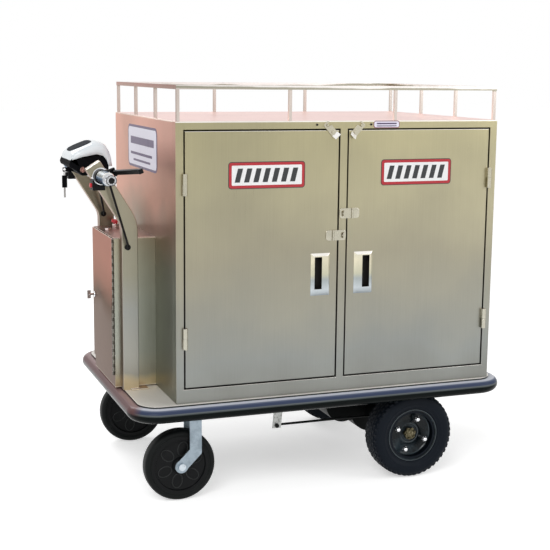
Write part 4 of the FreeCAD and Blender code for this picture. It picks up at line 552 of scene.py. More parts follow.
for name, side in (("left", -1), ("right", 1)):
    eased(f"door_{name}", 1.8, "stainless", cabinet_steel, steps=3)
    eased(f"pull_{name}", 0.8, "chrome", pull_chrome, cup_shade, inner=in_the_cup)
    eased(f"hasp_{name}", 0.6, "fittings", hasp_steel, shaped=hasp_rounding(side))
    eased(f"door_{name}_fittings", 0.6, "fittings", hasp_steel, shaped=hasp_rounding(side))

SPARE_RIVET = Vector((80 * MM, 1.03125))
RIVET_REACH = 4 * MM


def spare_rivets(centre, normal):
    """The two dark rivets in the top rail that hold nothing."""
    return (Vector((abs(centre.x - CAB_MID), centre.z)) - SPARE_RIVET).length < RIVET_REACH


eased("frame_hardware", 0.5, "fittings", hasp_steel, cup_shade, inner=spare_rivets)

# Signs and label plates are thin printed panels stuck to the steel, here without any wording.
# Each is built up from flat printed layers with round corners.
def ink(name, colour, worn, rough=0.35):
    """Smooth print on a panel."""
    return coated(name, colour, worn, rough, 500, 0.00005)


white_print = ink("white_print", (0.8, 0.8, 0.8), (0.72, 0.71, 0.7))
red_print = ink("red_print", (0.42, 0.018, 0.028), (0.36, 0.02, 0.026))
lilac_print = ink("lilac_print", (0.76, 0.74, 0.84), (0.7, 0.68, 0.78))
dark_print = ink("dark_print", (0.02, 0.022, 0.024), (0.035, 0.035, 0.035), rough=0.4)
violet_print = ink("violet_print", (0.075, 0.04, 0.12), (0.065, 0.038, 0.1))
plum_print = ink("plum_print", (0.22, 0.04, 0.09), (0.19, 0.04, 0.08))


def rounded_outline(low, high, radius, steps=6):
    """Corner points of an upright rectangle with round corners, as across and up."""
    points = []
    corners = ((high[0], high[1]), (low[0], high[1]), (low[0], low[1]), (high[0], low[1]))
    for quarter, (across, up) in enumerate(corners):
        middle_across = across - radius if across == high[0] else across + radius
        middle_up = up - radius if up == high[1] else up + radius
        for step in range(steps + 1):
            angle = math.radians(90 * (quarter + step / steps))
            points.append((middle_across + radius * math.cos(angle), middle_up + radius * math.sin(angle)))
    return points


def layer(shape, points, back, front, index, onto):
    """One flat printed layer from its outline; onto turns across, up and out into the cart's frame."""
    behind = [shape.verts.new(onto(across, up, back)) for across, up in points]
    before = [shape.verts.new(onto(across, up, front)) for across, up in points]
    faces = [shape.faces.new(behind), shape.faces.new(before)]
    for i in range(len(points)):
        j = (i + 1) % len(points)
        faces.append(shape.faces.new((behind[i], behind[j], before[j], before[i])))
    for face in faces:
        face.material_index = index


def printed_panel(name, layers, onto, materials, body, *replaced):
    """A panel from its layers, each with its outline, its back and front and the number of its material."""
    shape = bmesh.new()
    for points, back, front, index in layers:
        layer(shape, points, back, front, index, onto)
    bmesh.ops.recalc_face_normals(shape, faces=shape.faces)
    return add_piece(name, as_mesh(name, shape, materials), body, "plates", *replaced)


def drawn_in(low, high, by):
    """A rectangle drawn in by a margin on all sides."""
    return (low[0] + by, low[1] + by), (high[0] - by, high[1] - by)


SIGN_RADIUS = 9 * MM
SIGN_EDGE = 2 * MM
SIGN_BORDER = 9.5 * MM
FIELD_MARGIN = 8 * MM
PRINT = 0.25 * MM
STRIPES = 7
STRIPE_SHARE = 0.55
STRIPE_SLANT = 0.35
for side in ("left", "right"):
    low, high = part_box(f"sign_{side}")
    flat_low, flat_high = (low.x, low.z), (high.x, high.z)
    face_y = high.y

    def onto_door(across, up, out, base=face_y):
        return (across, base - out, up)

    red_low, red_high = drawn_in(flat_low, flat_high, SIGN_EDGE)
    white_low, white_high = drawn_in(flat_low, flat_high, SIGN_BORDER)
    layers = [(rounded_outline(flat_low, flat_high, SIGN_RADIUS), 0, PRINT, 2),
              (rounded_outline(red_low, red_high, SIGN_RADIUS - SIGN_EDGE), PRINT, 2 * PRINT, 1),
              (rounded_outline(white_low, white_high, SIGN_RADIUS / 3), 2 * PRINT, 3 * PRINT, 0)]
    field_low, field_high = drawn_in(white_low, white_high, FIELD_MARGIN)
    pitch = (field_high[0] - field_low[0]) / STRIPES
    slant = STRIPE_SLANT * pitch
    for i in range(STRIPES):
        start = field_low[0] + i * pitch
        stop = start + STRIPE_SHARE * pitch
        points = [(start, field_low[1]), (stop, field_low[1]), (stop + slant, field_high[1]),
                  (start + slant, field_high[1])]
        layers.append((points, 3 * PRINT, 4 * PRINT, 2))
    printed_panel(f"sign_{side}_print", layers, onto_door, (white_print, red_print, dark_print),
                  f"door_{side}_leaf", f"sign_{side}")

# end label and rail tag: pale fields in a coloured border, with plain bars in place of their wording
END_X = -0.38473
BARS = {"end_label": ((0.1, 0.9, 0.55, 0.72), (0.16, 0.9, 0.3, 0.36), (0.22, 0.8, 0.15, 0.2)),
        "rail_tag": ((0.12, 0.88, 0.52, 0.7), (0.12, 0.88, 0.22, 0.34))}
end_low, end_high = (-0.160, 0.8915), (0.176, 1.0145)
tag_low, tag_high = (0.17727, 1.02125), (0.25627, 1.04125)


def onto_end(across, up, out):
    return (END_X - out, across, up)


def onto_rail(across, up, out):
    return (across, DOOR_FRONT - out, up)


for name, low, high, radius, edge, onto, border in (
        ("end_label", end_low, end_high, 20 * MM, 7 * MM, onto_end, violet_print),
        ("rail_tag", tag_low, tag_high, 7 * MM, 2 * MM, onto_rail, plum_print)):
    inner_low, inner_high = drawn_in(low, high, edge)
    layers = [(rounded_outline(low, high, radius), 0, 2 * PRINT, 1),
              (rounded_outline(inner_low, inner_high, radius - edge), 2 * PRINT, 3 * PRINT, 0)]
    size = (high[0] - low[0], high[1] - low[1])
    for left, right, foot, head in BARS[name]:
        bar_low = (low[0] + left * size[0], low[1] + foot * size[1])
        bar_high = (low[0] + right * size[0], low[1] + head * size[1])
        layers.append((rounded_outline(bar_low, bar_high, MM), 3 * PRINT, 4 * PRINT, 2))
    printed_panel(name, layers, onto, (lilac_print, border, violet_print), "cart", "label_plates")

# Swing latches are notched plates on rivets, with a finger tab bent out at the foot that is painted near
# white as a painted highlight.
# Each hooks over a stud in the top rail.
LATCH_IN = 33
LATCH_Z = 1011
LATCH_TURN = math.radians(42)
LATCH_HALF = 9.5
LATCH_BACK = 0.3
LATCH_FRONT = 2.3
LATCH_PLATE = ((-9.5, -7), (9.5, -7), (9.5, 30), (8.3, 32.8), (5.5, 34), (-5.5, 34), (-8.3, 32.8),
               (-9.5, 30), (-9.5, 28.8), (3.4, 28.8), (3.4, 21.2), (-9.5, 18.7))
LATCH_TAB = ((0.3, -6), (2.3, -6), (12.2, -15.6), (11, -17), (0.3, -8))
tab_highlight = coated("tab_highlight", (0.86, 0.85, 0.83), (0.78, 0.77, 0.75), 0.25, 500, 0.0001, metal=0.2)
for name, side in (("left", -1), ("right", 1)):
    pivot_x = CAB_MID + side * LATCH_IN * MM
    turn = side * LATCH_TURN

    def onto_latch(across, up, out, x=pivot_x, angle=turn, way=side):
        wide = way * across
        return (x + (wide * math.cos(angle) + up * math.sin(angle)) * MM, DOOR_FRONT - out * MM,
                (LATCH_Z - wide * math.sin(angle) + up * math.cos(angle)) * MM)

    def onto_tab(out, up, across, place=onto_latch):
        return place(across, up, out)

    shape = bmesh.new()
    layer(shape, LATCH_PLATE, LATCH_BACK, LATCH_FRONT, 0, onto_latch)
    layer(shape, LATCH_TAB, -LATCH_HALF, LATCH_HALF, 1, onto_tab)
    bmesh.ops.recalc_face_normals(shape, faces=shape.faces)
    mesh = as_mesh(f"latch_{name}_bent", shape, (hasp_steel, tab_highlight))
    add_piece(f"latch_{name}_bent", mesh, f"latch_{name}_plate", "fittings", f"latch_{name}")

# The battery box is folded steel with a long piano hinge and a wing knob. Batteries and the finned
# motor controller stand inside, a stop button and a charging socket are on its top.
red_plastic = coated("red_plastic", (0.62, 0.02, 0.035), (0.5, 0.03, 0.035), 0.3, 700, 0.0001)
moulded_black = coated("moulded_black", (0.004, 0.0045, 0.005), (0.012, 0.012, 0.012), 0.42, 1100, 0.0002,
                       shine=0.13)
BOX_SPAN = (0.29, 0.72)
# painted reflections: the box is golden at its foot where it reflects the deck, its operator's end is dark
# at mid height and salmon above, and its top is a pink painted sky reflection
BOX_TONES = ((0, (0.66, 0.54, 0.33)), (0.06, (0.6, 0.5, 0.31)), (0.1, (0.36, 0.34, 0.27)),
             (0.25, (0.3, 0.31, 0.265)), (0.6, (0.3, 0.31, 0.26)), (1, (0.31, 0.29, 0.21)))
BOX_END_TONES = ((0, (0.19, 0.185, 0.18)), (0.44, (0.17, 0.165, 0.155)), (0.55, (0.1, 0.085, 0.07)),
                 (0.68, (0.35, 0.19, 0.15)), (0.84, (0.5, 0.26, 0.21)), (1, (0.55, 0.29, 0.24)))
box_steel = sheet_steel("box_steel", BOX_SPAN, BOX_TONES, BOX_END_TONES, (0.5, 0.43, 0.43), 0.3)
hinge_dark = coated("hinge_dark", (0.085, 0.078, 0.065), (0.12, 0.11, 0.09), 0.45, 500, 0.0001, metal=1)
hinge_grey = coated("hinge_grey", (0.2, 0.19, 0.165), (0.26, 0.25, 0.21), 0.45, 500, 0.0001, metal=1)
PIANO = Vector((-0.50773, -0.1345, 0))
PIANO_R = 4.3
KNUCKLE_FACE = -0.75


def on_the_knuckles(centre, normal):
    """The knuckles of the piano hinge: darker on the box, grey on its door."""
    near = math.hypot(centre.x - PIANO.x, centre.y - PIANO.y) < PIANO_R * MM
    return near and normal.y < KNUCKLE_FACE


alloy = coated("cast_alloy", (0.5, 0.5, 0.51), (0.4, 0.4, 0.4), 0.4, 600, 0.0003, metal=1)
rosy_chrome = coated("rosy_chrome", (0.74, 0.63, 0.61), (0.62, 0.54, 0.52), 0.16, 300, 0.00005, metal=1)
eased("box_shell", 1.5, "stainless", box_steel, hinge_dark, inner=on_the_knuckles, steps=3)
eased("box_door", 1, "stainless", box_steel, hinge_grey, inner=on_the_knuckles)
eased("box_knob", 0.8, "chrome", chrome)
eased("box_top_fittings", 0.6, "chrome", rosy_chrome)
eased("estop_button", 1.5, "red", red_plastic, steps=3)
eased("batteries", 3, "black_plastic", moulded_black)
eased("motor_controller", 0.8, "controller_alloy", alloy)

# Two bent rectangular tubes stand on the deck and carry the handlebar, its bright sleeves, the black
# brake levers in their clamps and the switch pods. Cables run from them into the tubes.
jacket = coated("cable_jacket", (0.004, 0.004, 0.004), (0.012, 0.012, 0.012), 0.45, 600, 0.0001, shine=0.15)
BAR = Vector((-0.54428, 0, 0.88914))
COLUMN_SPAN = (0.29, 0.94)
# painted reflections: the uprights are golden at their foot where they reflect the deck and warm towards
# the top, and their operator's end lightens upwards
COLUMN_TONES = ((0, (0.64, 0.52, 0.33)), (0.045, (0.58, 0.48, 0.31)), (0.075, (0.33, 0.32, 0.28)),
                (0.35, (0.29, 0.295, 0.275)), (0.55, (0.28, 0.268, 0.205)), (1, (0.32, 0.29, 0.21)))
COLUMN_END_TONES = ((0, (0.28, 0.27, 0.25)), (0.6, (0.46, 0.4, 0.36)), (1, (0.54, 0.46, 0.41)))
column_steel = sheet_steel("column_steel", COLUMN_SPAN, COLUMN_TONES, COLUMN_END_TONES, (0.6, 0.5, 0.45),
                           0.32)
SLEEVE_SPAN = (0.871, 0.907)
# the sleeves are blue grey, painted dark below and near white along the top: painted shade and painted
# highlight
SLEEVE_TONES = ((0, (0.1, 0.13, 0.16)), (0.4, (0.16, 0.2, 0.25)), (0.6, (0.26, 0.31, 0.37)),
                (0.85, (0.55, 0.6, 0.66)), (1, (0.85, 0.87, 0.9)))
sleeve_steel = sheet_steel("sleeve_steel", SLEEVE_SPAN, SLEEVE_TONES, SLEEVE_TONES, (0.8, 0.84, 0.9), 0.24,
                           glance=(0.42, 0.5, 0.6))
RING_STEPS = 96


def turned(name, profiles, centre, materials, steps=RING_STEPS):
    """Turned shapes about an axle across the cart, from outlines of radius and place across.

    An outline that starts and ends on the axle is a solid, any other closes to a ring. Each outline comes
    with the number of its material."""
    shape = bmesh.new()
    for line, index in profiles:
        rings = []
        for radius, across in line:
            count = steps if radius > 0 else 1
            ring = []
            for i in range(count):
                angle = math.tau * i / steps
                spot = Vector((radius * math.cos(angle), across, radius * math.sin(angle)))
                ring.append(shape.verts.new(centre + spot * MM))
            rings.append(ring)
        solid = len(rings[0]) == 1
        follow = rings[1:] if solid else rings[1:] + rings[:1]
        for one, two in zip(rings, follow):
            for i in range(steps):
                j = (i + 1) % steps
                corners = [one[i % len(one)], one[j % len(one)], two[j % len(two)], two[i % len(two)]]
                face = shape.faces.new(list(dict.fromkeys(corners)))
                face.material_index = index
                face.smooth = True
    bmesh.ops.recalc_face_normals(shape, faces=shape.faces)
    mesh = as_mesh(name, shape, materials)
    mesh.set_sharp_from_angle(angle=SHARP)
    return mesh


def to_side(line, side):
    """An outline of radius and place across, mirrored where the side is -1."""
    return [(radius, side * across) for radius, across in line]


# the bar is a tube with a thick open end, and a boss welded on beside each upright
BAR_R = 14
BAR_HOLE_R = 8
HOLE_SLACK = 0.1
BAR_HOLE_DEEP = 40
BAR_TIP = 306
BOSS_R = 24
BOSS_IN = 160
BOSS_OUT = 180
ROUNDING = 1.5
half_bar = [(0, BAR_TIP - BAR_HOLE_DEEP), (BAR_HOLE_R, BAR_TIP - BAR_HOLE_DEEP), (BAR_HOLE_R, BAR_TIP),
            (BAR_R - ROUNDING, BAR_TIP), (BAR_R, BAR_TIP - ROUNDING), (BAR_R, BOSS_OUT),
            (BOSS_R - ROUNDING, BOSS_OUT), (BOSS_R, BOSS_OUT - ROUNDING), (BOSS_R, BOSS_IN + ROUNDING),
            (BOSS_R - ROUNDING, BOSS_IN), (BAR_R, BOSS_IN)]
whole_bar = to_side(half_bar, -1) + to_side(half_bar, 1)[::-1]
bar_mesh = turned("handlebar_turned", [(whole_bar, 0)], BAR, (chrome, cup_shade))
for face in bar_mesh.polygons:
    spot = face.center - BAR
    if math.hypot(spot.x, spot.z) < (BAR_HOLE_R + HOLE_SLACK) * MM:
        face.material_index = 1
add_piece("handlebar_turned", bar_mesh, "cart", "chrome", "handlebar")

# a broad collar and a slim sleeve on each end, the one at the doors' side turns as the throttle
SLEEVE_BORE_R = 14.05
SLEEVE_R = 15.6
COLLAR_R = 18
COLLAR_IN = 195
COLLAR_OUT = 273
SLEEVE_OUT = 281
sleeve = [(SLEEVE_BORE_R, COLLAR_IN), (COLLAR_R - ROUNDING, COLLAR_IN), (COLLAR_R, COLLAR_IN + ROUNDING),
          (COLLAR_R, COLLAR_OUT - ROUNDING), (COLLAR_R - ROUNDING, COLLAR_OUT), (SLEEVE_R, COLLAR_OUT),
          (SLEEVE_R, SLEEVE_OUT), (SLEEVE_BORE_R, SLEEVE_OUT)]
for node, body, end in (("throttle_grip", "throttle", -1), ("fixed_grip", "cart", 1)):
    sleeve_mesh = turned(node + "_turned", [(to_side(sleeve, end), 0)], BAR, (sleeve_steel, chrome))
    for face in sleeve_mesh.polygons:
        face.material_index = int(abs(face.center.y) > COLLAR_OUT * MM)
    add_piece(node + "_turned", sleeve_mesh, body, "chrome", node)
eased("uprights", 2, "stainless", column_steel, steps=3)
eased("bar_controls", 1.5, "black_plastic", moulded_black)
for side in ("front", "rear"):
    eased(f"brake_lever_{side}", 3.2, "black_plastic", moulded_black, steps=3)
eased("pod_button_rear", 1, "black_plastic", moulded_black)
eased("pod_button_front", 1, "red", red_plastic)
dress(jacket, "column_cables")

# The control head is a pale moulded cover over a black base that is clamped round the bar,
# with a dark display window, an ignition lock and a key on a ring.
pale_shell = coated("pale_shell", (0.74, 0.79, 0.82), (0.68, 0.72, 0.75), 0.24, 500, 0.00005, coat=0.3)
window = coated("display_window", (0.016, 0.02, 0.026), (0.03, 0.035, 0.04), 0.4, 400, 0.00002, shine=0.004)
head_black = coated("head_black", (0.006, 0.006, 0.007), (0.014, 0.012, 0.012), 0.5, 1100, 0.0002,
                    shine=0.006)
key_steel = coated("key_steel", (0.3, 0.29, 0.28), (0.2, 0.19, 0.18), 0.3, 500, 0.0001, metal=1)
coppered = coated("coppered", (0.66, 0.38, 0.34), (0.5, 0.3, 0.27), 0.25, 400, 0.0001, metal=1)
DOME_HALF = 80
DOME_FRONT = -61.5
DOME_BACK = 55.5
DOME_MID = (DOME_FRONT + DOME_BACK) / 2
DOME_REACH = (DOME_BACK - DOME_FRONT) / 2
DOME_SQUARE = 4.4
DOME_CORNER = 5
DOME_DRAWN = 0.65
SEAM = 0.02 * MM
CROWN_LINE = ((-61.5, 36), (-58.5, 52), (-54, 59), (-45, 65), (-25, 74), (0, 84), (14, 87), (28, 85),
              (38, 79), (47, 65), (52, 48), (55.5, 19))
SKIRT_LINE = ((-61.5, 36), (-30, 46), (10, 53), (28, 48), (38, 36), (44, 19), (55.5, 19))


def along_line(line, at):
    """Height of a drawn line at one place along it."""
    for (x0, z0), (x1, z1) in zip(line, line[1:]):
        if at <= x1:
            return z0 + (z1 - z0) * (at - x0) / (x1 - x0)
    return line[-1][1]


def dome_half(x):
    """Half the dome's width at one place along the cart: full in the middle and drawn in at both ends."""
    share = min(abs(x - DOME_MID) / DOME_REACH, 1)
    full = (1 - share ** DOME_CORNER) ** (1 / DOME_CORNER)
    return DOME_HALF * (DOME_DRAWN + (1 - DOME_DRAWN) * full)


def dome_height(x, across):
    """Height of the dome over the bar."""
    share = min(abs(across) / dome_half(x), 1)
    rise = (1 - share ** DOME_SQUARE) ** (1 / DOME_SQUARE)
    skirt = along_line(SKIRT_LINE, x)
    return skirt + (along_line(CROWN_LINE, x) - skirt) * rise


def on_the_dome(x, across, lift=0):
    """A spot on the dome, or a little off it."""
    return BAR + Vector((x, across, dome_height(x, across) + lift)) * MM


def squared(share, square):
    """A sine or cosine drawn out towards the corners of a rounded square."""
    return math.copysign(abs(share) ** (2 / square), share)


def shell_mesh(name, shape, material):
    """Close a drawn shell's seams, turn it outwards and give it its finish."""
    bmesh.ops.remove_doubles(shape, verts=shape.verts, dist=SEAM)
    bmesh.ops.recalc_face_normals(shape, faces=shape.faces)
    upward = sum(face.normal.z * face.calc_area() for face in shape.faces)
    if upward < 0:
        bmesh.ops.reverse_faces(shape, faces=shape.faces)
    for face in shape.faces:
        face.smooth = True
    return as_mesh(name, shape, (material,))


def walled(piece, thickness):
    """Give a shell its wall, inwards."""
    wall = piece.modifiers.new("wall", "SOLIDIFY")
    wall.thickness = thickness * MM
    wall.offset = -1


def domed_cover(stations=40, ribs=36):
    """Helmet-shaped shell: arched sections along the cart between the skirt and the crown lines."""
    shape = bmesh.new()
    rows = []
    for i in range(stations + 1):
        x = DOME_MID - DOME_REACH * math.cos(math.pi * i / stations)
        row = []
        for k in range(ribs + 1):
            angle = math.pi * (k / ribs - 0.5)
            across = squared(math.sin(angle), DOME_SQUARE) * dome_half(x)
            row.append(shape.verts.new(on_the_dome(x, across)))
        rows.append(row)
    for low, high in zip(rows, rows[1:]):
        for k in range(ribs):
            shape.faces.new((low[k], high[k], high[k + 1], low[k + 1]))
    return shell_mesh("head_dome", shape, pale_shell)


# the window lies on the dome's slope towards the operator
SCREEN_MID = -24
SCREEN_HALF_X = 31
SCREEN_HALF_Y = 50
SCREEN_SQUARE = 3
SCREEN_LIFT = 0.8
COVER_WALL = 2.5
GLASS_WALL = 1.5


def dome_window(rings=10, spokes=64):
    """A patch of the dome with a rounded outline, lifted a little off it."""
    shape = bmesh.new()
    before = [shape.verts.new(on_the_dome(SCREEN_MID, 0, SCREEN_LIFT))] * spokes
    for ring in range(1, rings + 1):
        share = ring / rings
        row = []
        for i in range(spokes):
            angle = math.tau * i / spokes
            x = SCREEN_MID + share * SCREEN_HALF_X * squared(math.cos(angle), SCREEN_SQUARE)
            across = share * SCREEN_HALF_Y * squared(math.sin(angle), SCREEN_SQUARE)
            row.append(shape.verts.new(on_the_dome(x, across, SCREEN_LIFT)))
        for i in range(spokes):
            j = (i + 1) % spokes
            corners = list(dict.fromkeys((before[i], row[i], row[j], before[j])))
            shape.faces.new(corners)
        before = row
    return shell_mesh("display_glass", shape, window)


walled(add_piece("head_dome", domed_cover(), "cart", "pale_shell", "head_cover"), COVER_WALL)
walled(add_piece("display_glass", dome_window(), "cart", "display", "head_display"), GLASS_WALL)

KEY_BLADE_TOP = 0.8444
KEY_RING_FOOT = 0.8785


def bare_key_metal(centre, normal):
    """The key's blade and its ring."""
    return centre.z < KEY_BLADE_TOP or centre.z > KEY_RING_FOOT


eased("head_base", 2.5, "black_plastic", head_black, steps=3)
eased("hanging_key", 0.3, "black_plastic", head_black, key_steel, inner=bare_key_metal)
eased("lock_barrel", 0.5, "chrome", coppered)

# Swivel casters have zinc plated forks under bolted plates, and solid rubber tyres on black moulded
# centres with a ring of oval pockets.
zinc = coated("zinc_plate", (0.31, 0.37, 0.42), (0.25, 0.3, 0.34), 0.42, 400, 0.0002, metal=1, reach=0.45,
              broad=30)
bright_zinc = coated("bright_zinc", (0.56, 0.62, 0.67), (0.4, 0.45, 0.49), 0.3, 400, 0.0001, metal=1,
                     broad=120)
caster_rubber = coated("caster_rubber", (0.004, 0.005, 0.005), (0.012, 0.013, 0.013), 0.5, 900, 0.0003,
                       shine=0.13)
CASTER_AXLE = Vector((-0.36073, 0, 0.1))
CASTER_Y = 280
AXLE_HEAD_R = 10.2
FORK_OUT = 31.8
CENTRE_HALF = [(6.05, 26), (12, 26), (20, 25), (22, 23), (24, 15), (28, 13), (66, 13), (70, 15), (72, 20),
               (80, 20)]
TYRE_HALF = [(80, 20), (82, 21), (84, 21.2), (85, 20.4), (86, 21.4), (89, 22), (94, 21), (97, 18.5),
             (98.6, 15.5), (99.6, 12), (100, 8)]


def spots_round(tree, inlet):
    """Points round an axle in a tree, and how far each is turned."""
    share = worked(tree, "DIVIDE", math.tau, inlet["Count"])
    number = add(tree, "GeometryNodeInputIndex").outputs[0]
    angle = worked(tree, "MULTIPLY_ADD", number, share, inlet["Phase"])
    along = worked(tree, "MULTIPLY", worked(tree, "COSINE", angle), inlet["Radius"])
    up = worked(tree, "MULTIPLY", worked(tree, "SINE", angle), inlet["Radius"])
    spot = add(tree, "ShaderNodeCombineXYZ", {0: along, 1: up, 2: inlet["Offset"]})
    spots = add(tree, "GeometryNodePoints", {"Count": inlet["Count"], "Position": spot.outputs[0]})
    return spots.outputs[0], angle


def row_tree(name, sizes):
    """A tree with the inputs of a row round an axle, and the further sizes of what stands in it."""
    tree = bpy.data.node_groups.new(name, "GeometryNodeTree")
    tree.is_modifier = True
    tree.interface.new_socket("Geometry", in_out="INPUT", socket_type="NodeSocketGeometry")
    for label in ("Radius", "Offset", "Phase") + sizes:
        tree.interface.new_socket(label, in_out="INPUT", socket_type="NodeSocketFloat")
    tree.interface.new_socket("Count", in_out="INPUT", socket_type="NodeSocketInt")
    tree.interface.new_socket("Centre", in_out="INPUT", socket_type="NodeSocketVector")
    tree.interface.new_socket("Finish", in_out="INPUT", socket_type="NodeSocketMaterial")
    tree.interface.new_socket("Geometry", in_out="OUTPUT", socket_type="NodeSocketGeometry")
    return tree, add(tree, "NodeGroupInput").outputs


def close_row(tree, inlet, spots, thing, turn):
    """Set the thing on its spots, stand the row upright on its axle and join it to what is there."""
    things = add(tree, "GeometryNodeInstanceOnPoints",
                 {"Points": spots, "Instance": thing, "Rotation": turn})
    stood = add(tree, "GeometryNodeTransform",
                {0: things.outputs[0], "Translation": inlet["Centre"], "Rotation": (math.pi / 2, 0, 0)})
    whole = add(tree, "GeometryNodeRealizeInstances", {0: stood.outputs[0]})
    dressed = add(tree, "GeometryNodeSetMaterial",
                  {"Geometry": whole.outputs[0], "Material": inlet["Finish"]})
    both = add(tree, "GeometryNodeJoinGeometry")
    tree.links.new(dressed.outputs[0], both.inputs[0])
    tree.links.new(inlet["Geometry"], both.inputs[0])
    add(tree, "NodeGroupOutput", {0: both.outputs[0]})
    return tree


def pocket_tree():
    """A ring of oval rims, each a thin bead round a pocket of the wheel's centre."""
    tree, inlet = row_tree("pocket_row", ("Long", "Wide", "Bead"))
    spots, angle = spots_round(tree, inlet)
    oval = add(tree, "GeometryNodeCurvePrimitiveCircle", {"Resolution": 40, "Radius": 1})
    size = add(tree, "ShaderNodeCombineXYZ", {0: inlet["Long"], 1: inlet["Wide"], 2: 1})
    drawn = add(tree, "GeometryNodeTransform", {0: oval.outputs[0], "Scale": size.outputs[0]})
    section = add(tree, "GeometryNodeCurvePrimitiveCircle", {"Resolution": 8, "Radius": inlet["Bead"]})
    bead = add(tree, "GeometryNodeCurveToMesh", {0: drawn.outputs[0], 1: section.outputs[0]})
    turn = add(tree, "ShaderNodeCombineXYZ", {2: angle})
    return close_row(tree, inlet, spots, bead.outputs[0], turn.outputs[0])


def set_inputs(modifier, values):
    """Set a tree's named inputs on its modifier by their identifiers."""
    for item in modifier.node_group.interface.items_tree:
        if item.in_out == "INPUT" and item.name in values:
            modifier[item.identifier] = values[item.name]


def with_rows(mesh, tree, rows):
    """A mesh with rows of a tree's things joined to it, as a plain mesh."""
    holder = bpy.data.objects.new("holder", mesh)
    bpy.context.scene.collection.objects.link(holder)
    for values in rows:
        row = holder.modifiers.new("row", "NODES")
        row.node_group = tree
        set_inputs(row, values)
    bpy.context.view_layer.update()
    shown = holder.evaluated_get(bpy.context.evaluated_depsgraph_get())
    plain = bpy.data.meshes.new_from_object(shown)
    holder.modifiers.clear()
    bpy.data.objects.remove(holder)
    return plain


def both_sides(half):
    """The whole outline of a turned ring from its outer half."""
    return half + [(radius, -across) for radius, across in reversed(half)]


# the pocket beads are a lighter grey than the centre: a painted highlight on their edges
bead_highlight = coated("bead_highlight", (0.02, 0.022, 0.022), (0.04, 0.042, 0.042), 0.4, 900, 0.0002, shine=0.2)
POCKETS = 6
POCKET_ROW = {"Radius": 46 * MM, "Phase": 0.35, "Long": 20 * MM, "Wide": 14 * MM, "Bead": 1.6 * MM,
              "Count": POCKETS, "Finish": bead_highlight}
POCKET_FACE = 13
pockets = pocket_tree()
eased("caster_plates", 1, "zinc", zinc)
for name, side in (("front", -1), ("rear", 1)):
    centre = CASTER_AXLE + Vector((0, side * CASTER_Y, 0)) * MM

    def on_the_axle(spot, normal, middle=centre):
        away = spot - middle
        return math.hypot(away.x, away.z) < AXLE_HEAD_R * MM and abs(away.y) > FORK_OUT * MM

    eased(f"caster_fork_{name}", 0.8, "zinc", zinc, bright_zinc, inner=on_the_axle)
    disc = turned("caster_centre", [(both_sides(CENTRE_HALF), 0)], centre, (moulded_black,))
    rows = [{**POCKET_ROW, "Offset": face * POCKET_FACE * MM, "Centre": centre} for face in (-1, 1)]
    add_piece(f"caster_centre_{name}", with_rows(disc, pockets, rows), f"roller_{name}", "black_plastic",
              f"caster_wheel_{name}")
    tyre = turned("caster_ring", [(both_sides(TYRE_HALF), 0)], centre, (caster_rubber,))
    add_piece(f"caster_ring_{name}", tyre, f"roller_{name}", "tyre", f"caster_tyre_{name}")

# Drive wheels have block-tread tyres on dished black rims, held by dome nuts on long studs.
# A brassy slotted nut holds each wheel's hub on its half shaft.
# the tyre rubber is tinted blue: a painted sheen
tyre_rubber = coated("tyre_rubber", (0.004, 0.0065, 0.011), (0.009, 0.012, 0.017), 0.5, 700, 0.0004,
                     shine=0.1)
rim_paint = coated("rim_paint", (0.003, 0.006, 0.008), (0.02, 0.032, 0.04), 0.2, 600, 0.0001, shine=0.2,
                   reach=0.5, broad=14)
# rings on the rim's outer face take a lighter blue grey: painted highlight rings
rim_edge_highlight = coated("rim_edge_highlight", (0.024, 0.038, 0.046), (0.012, 0.018, 0.022), 0.25, 600, 0.0001, broad=14)
brass = coated("brassy_steel", (0.08, 0.07, 0.04), (0.42, 0.37, 0.26), 0.3, 500, 0.0002, metal=1, broad=160)
AXLE = Vector((0.33327, 0, 0.127))
WHEEL_Y = 300
SHAFT_R = 12.4
SHAFT_IN = -110
SHAFT_OUT = 17
NUT_REACH = 22
CARCASS_HALF = [(66, 30), (78.3, 30.2), (80, 33.5), (82.5, 34.6), (84.5, 34.2), (87, 35.6), (91, 37.4),
                (93, 38.2), (95, 37.7), (97, 38.2), (104, 38.8), (110, 38.6), (115, 37), (119.5, 33.5),
                (122.6, 27), (124.8, 18), (125.7, 8)]
DISH = [(66, -30), (66, 30), (77, 30), (78, 31.5), (77.4, 32.8), (75.5, 33), (72.5, 32), (70.5, 28),
        (69.5, 20), (67, 12), (64, 7.5), (60, 5.2), (54, 4.4), (36, 4.2), (34.5, 5), (32, 7), (29, 7.4),
        (27, 6.4), (26, 4.4), (12.6, 4.2), (12.6, -40), (34, -40), (34, -2), (59, -2), (63, -6), (63, -33),
        (78, -33), (78, -30)]
SHAFT = [(0, SHAFT_IN), (SHAFT_R, SHAFT_IN), (SHAFT_R, SHAFT_OUT - ROUNDING),
         (SHAFT_R - ROUNDING, SHAFT_OUT), (0, SHAFT_OUT)]
WASHER = [(12.6, 13.6), (16.5, 13.6), (16.5, 14.6), (12.6, 14.6)]
HIGHLIGHT_RINGS = ((75, 77.2), (64.5, 67.5), (27.5, 30))
STUD_DEEP = 6
STUD_LONG = 13
STUD_COUNT = 44
STUD_SKEW = 0.2
BLOCK_OUTER = 0.5
BLOCK_TAPER = 0.8
STUD_ROWS = ((0, 126.8, 0, 8), (11, 126.6, 0.5, 8), (22, 125.6, 0, 8), (31.5, 122.4, 0.5, 7))
CASTLE = {"Radius": 14.5 * MM, "Phase": 0.3, "Deep": 5 * MM, "Long": 7 * MM, "Wide": 6 * MM, "Count": 6,
          "Finish": brass}
CASTLE_OUT = 15.5


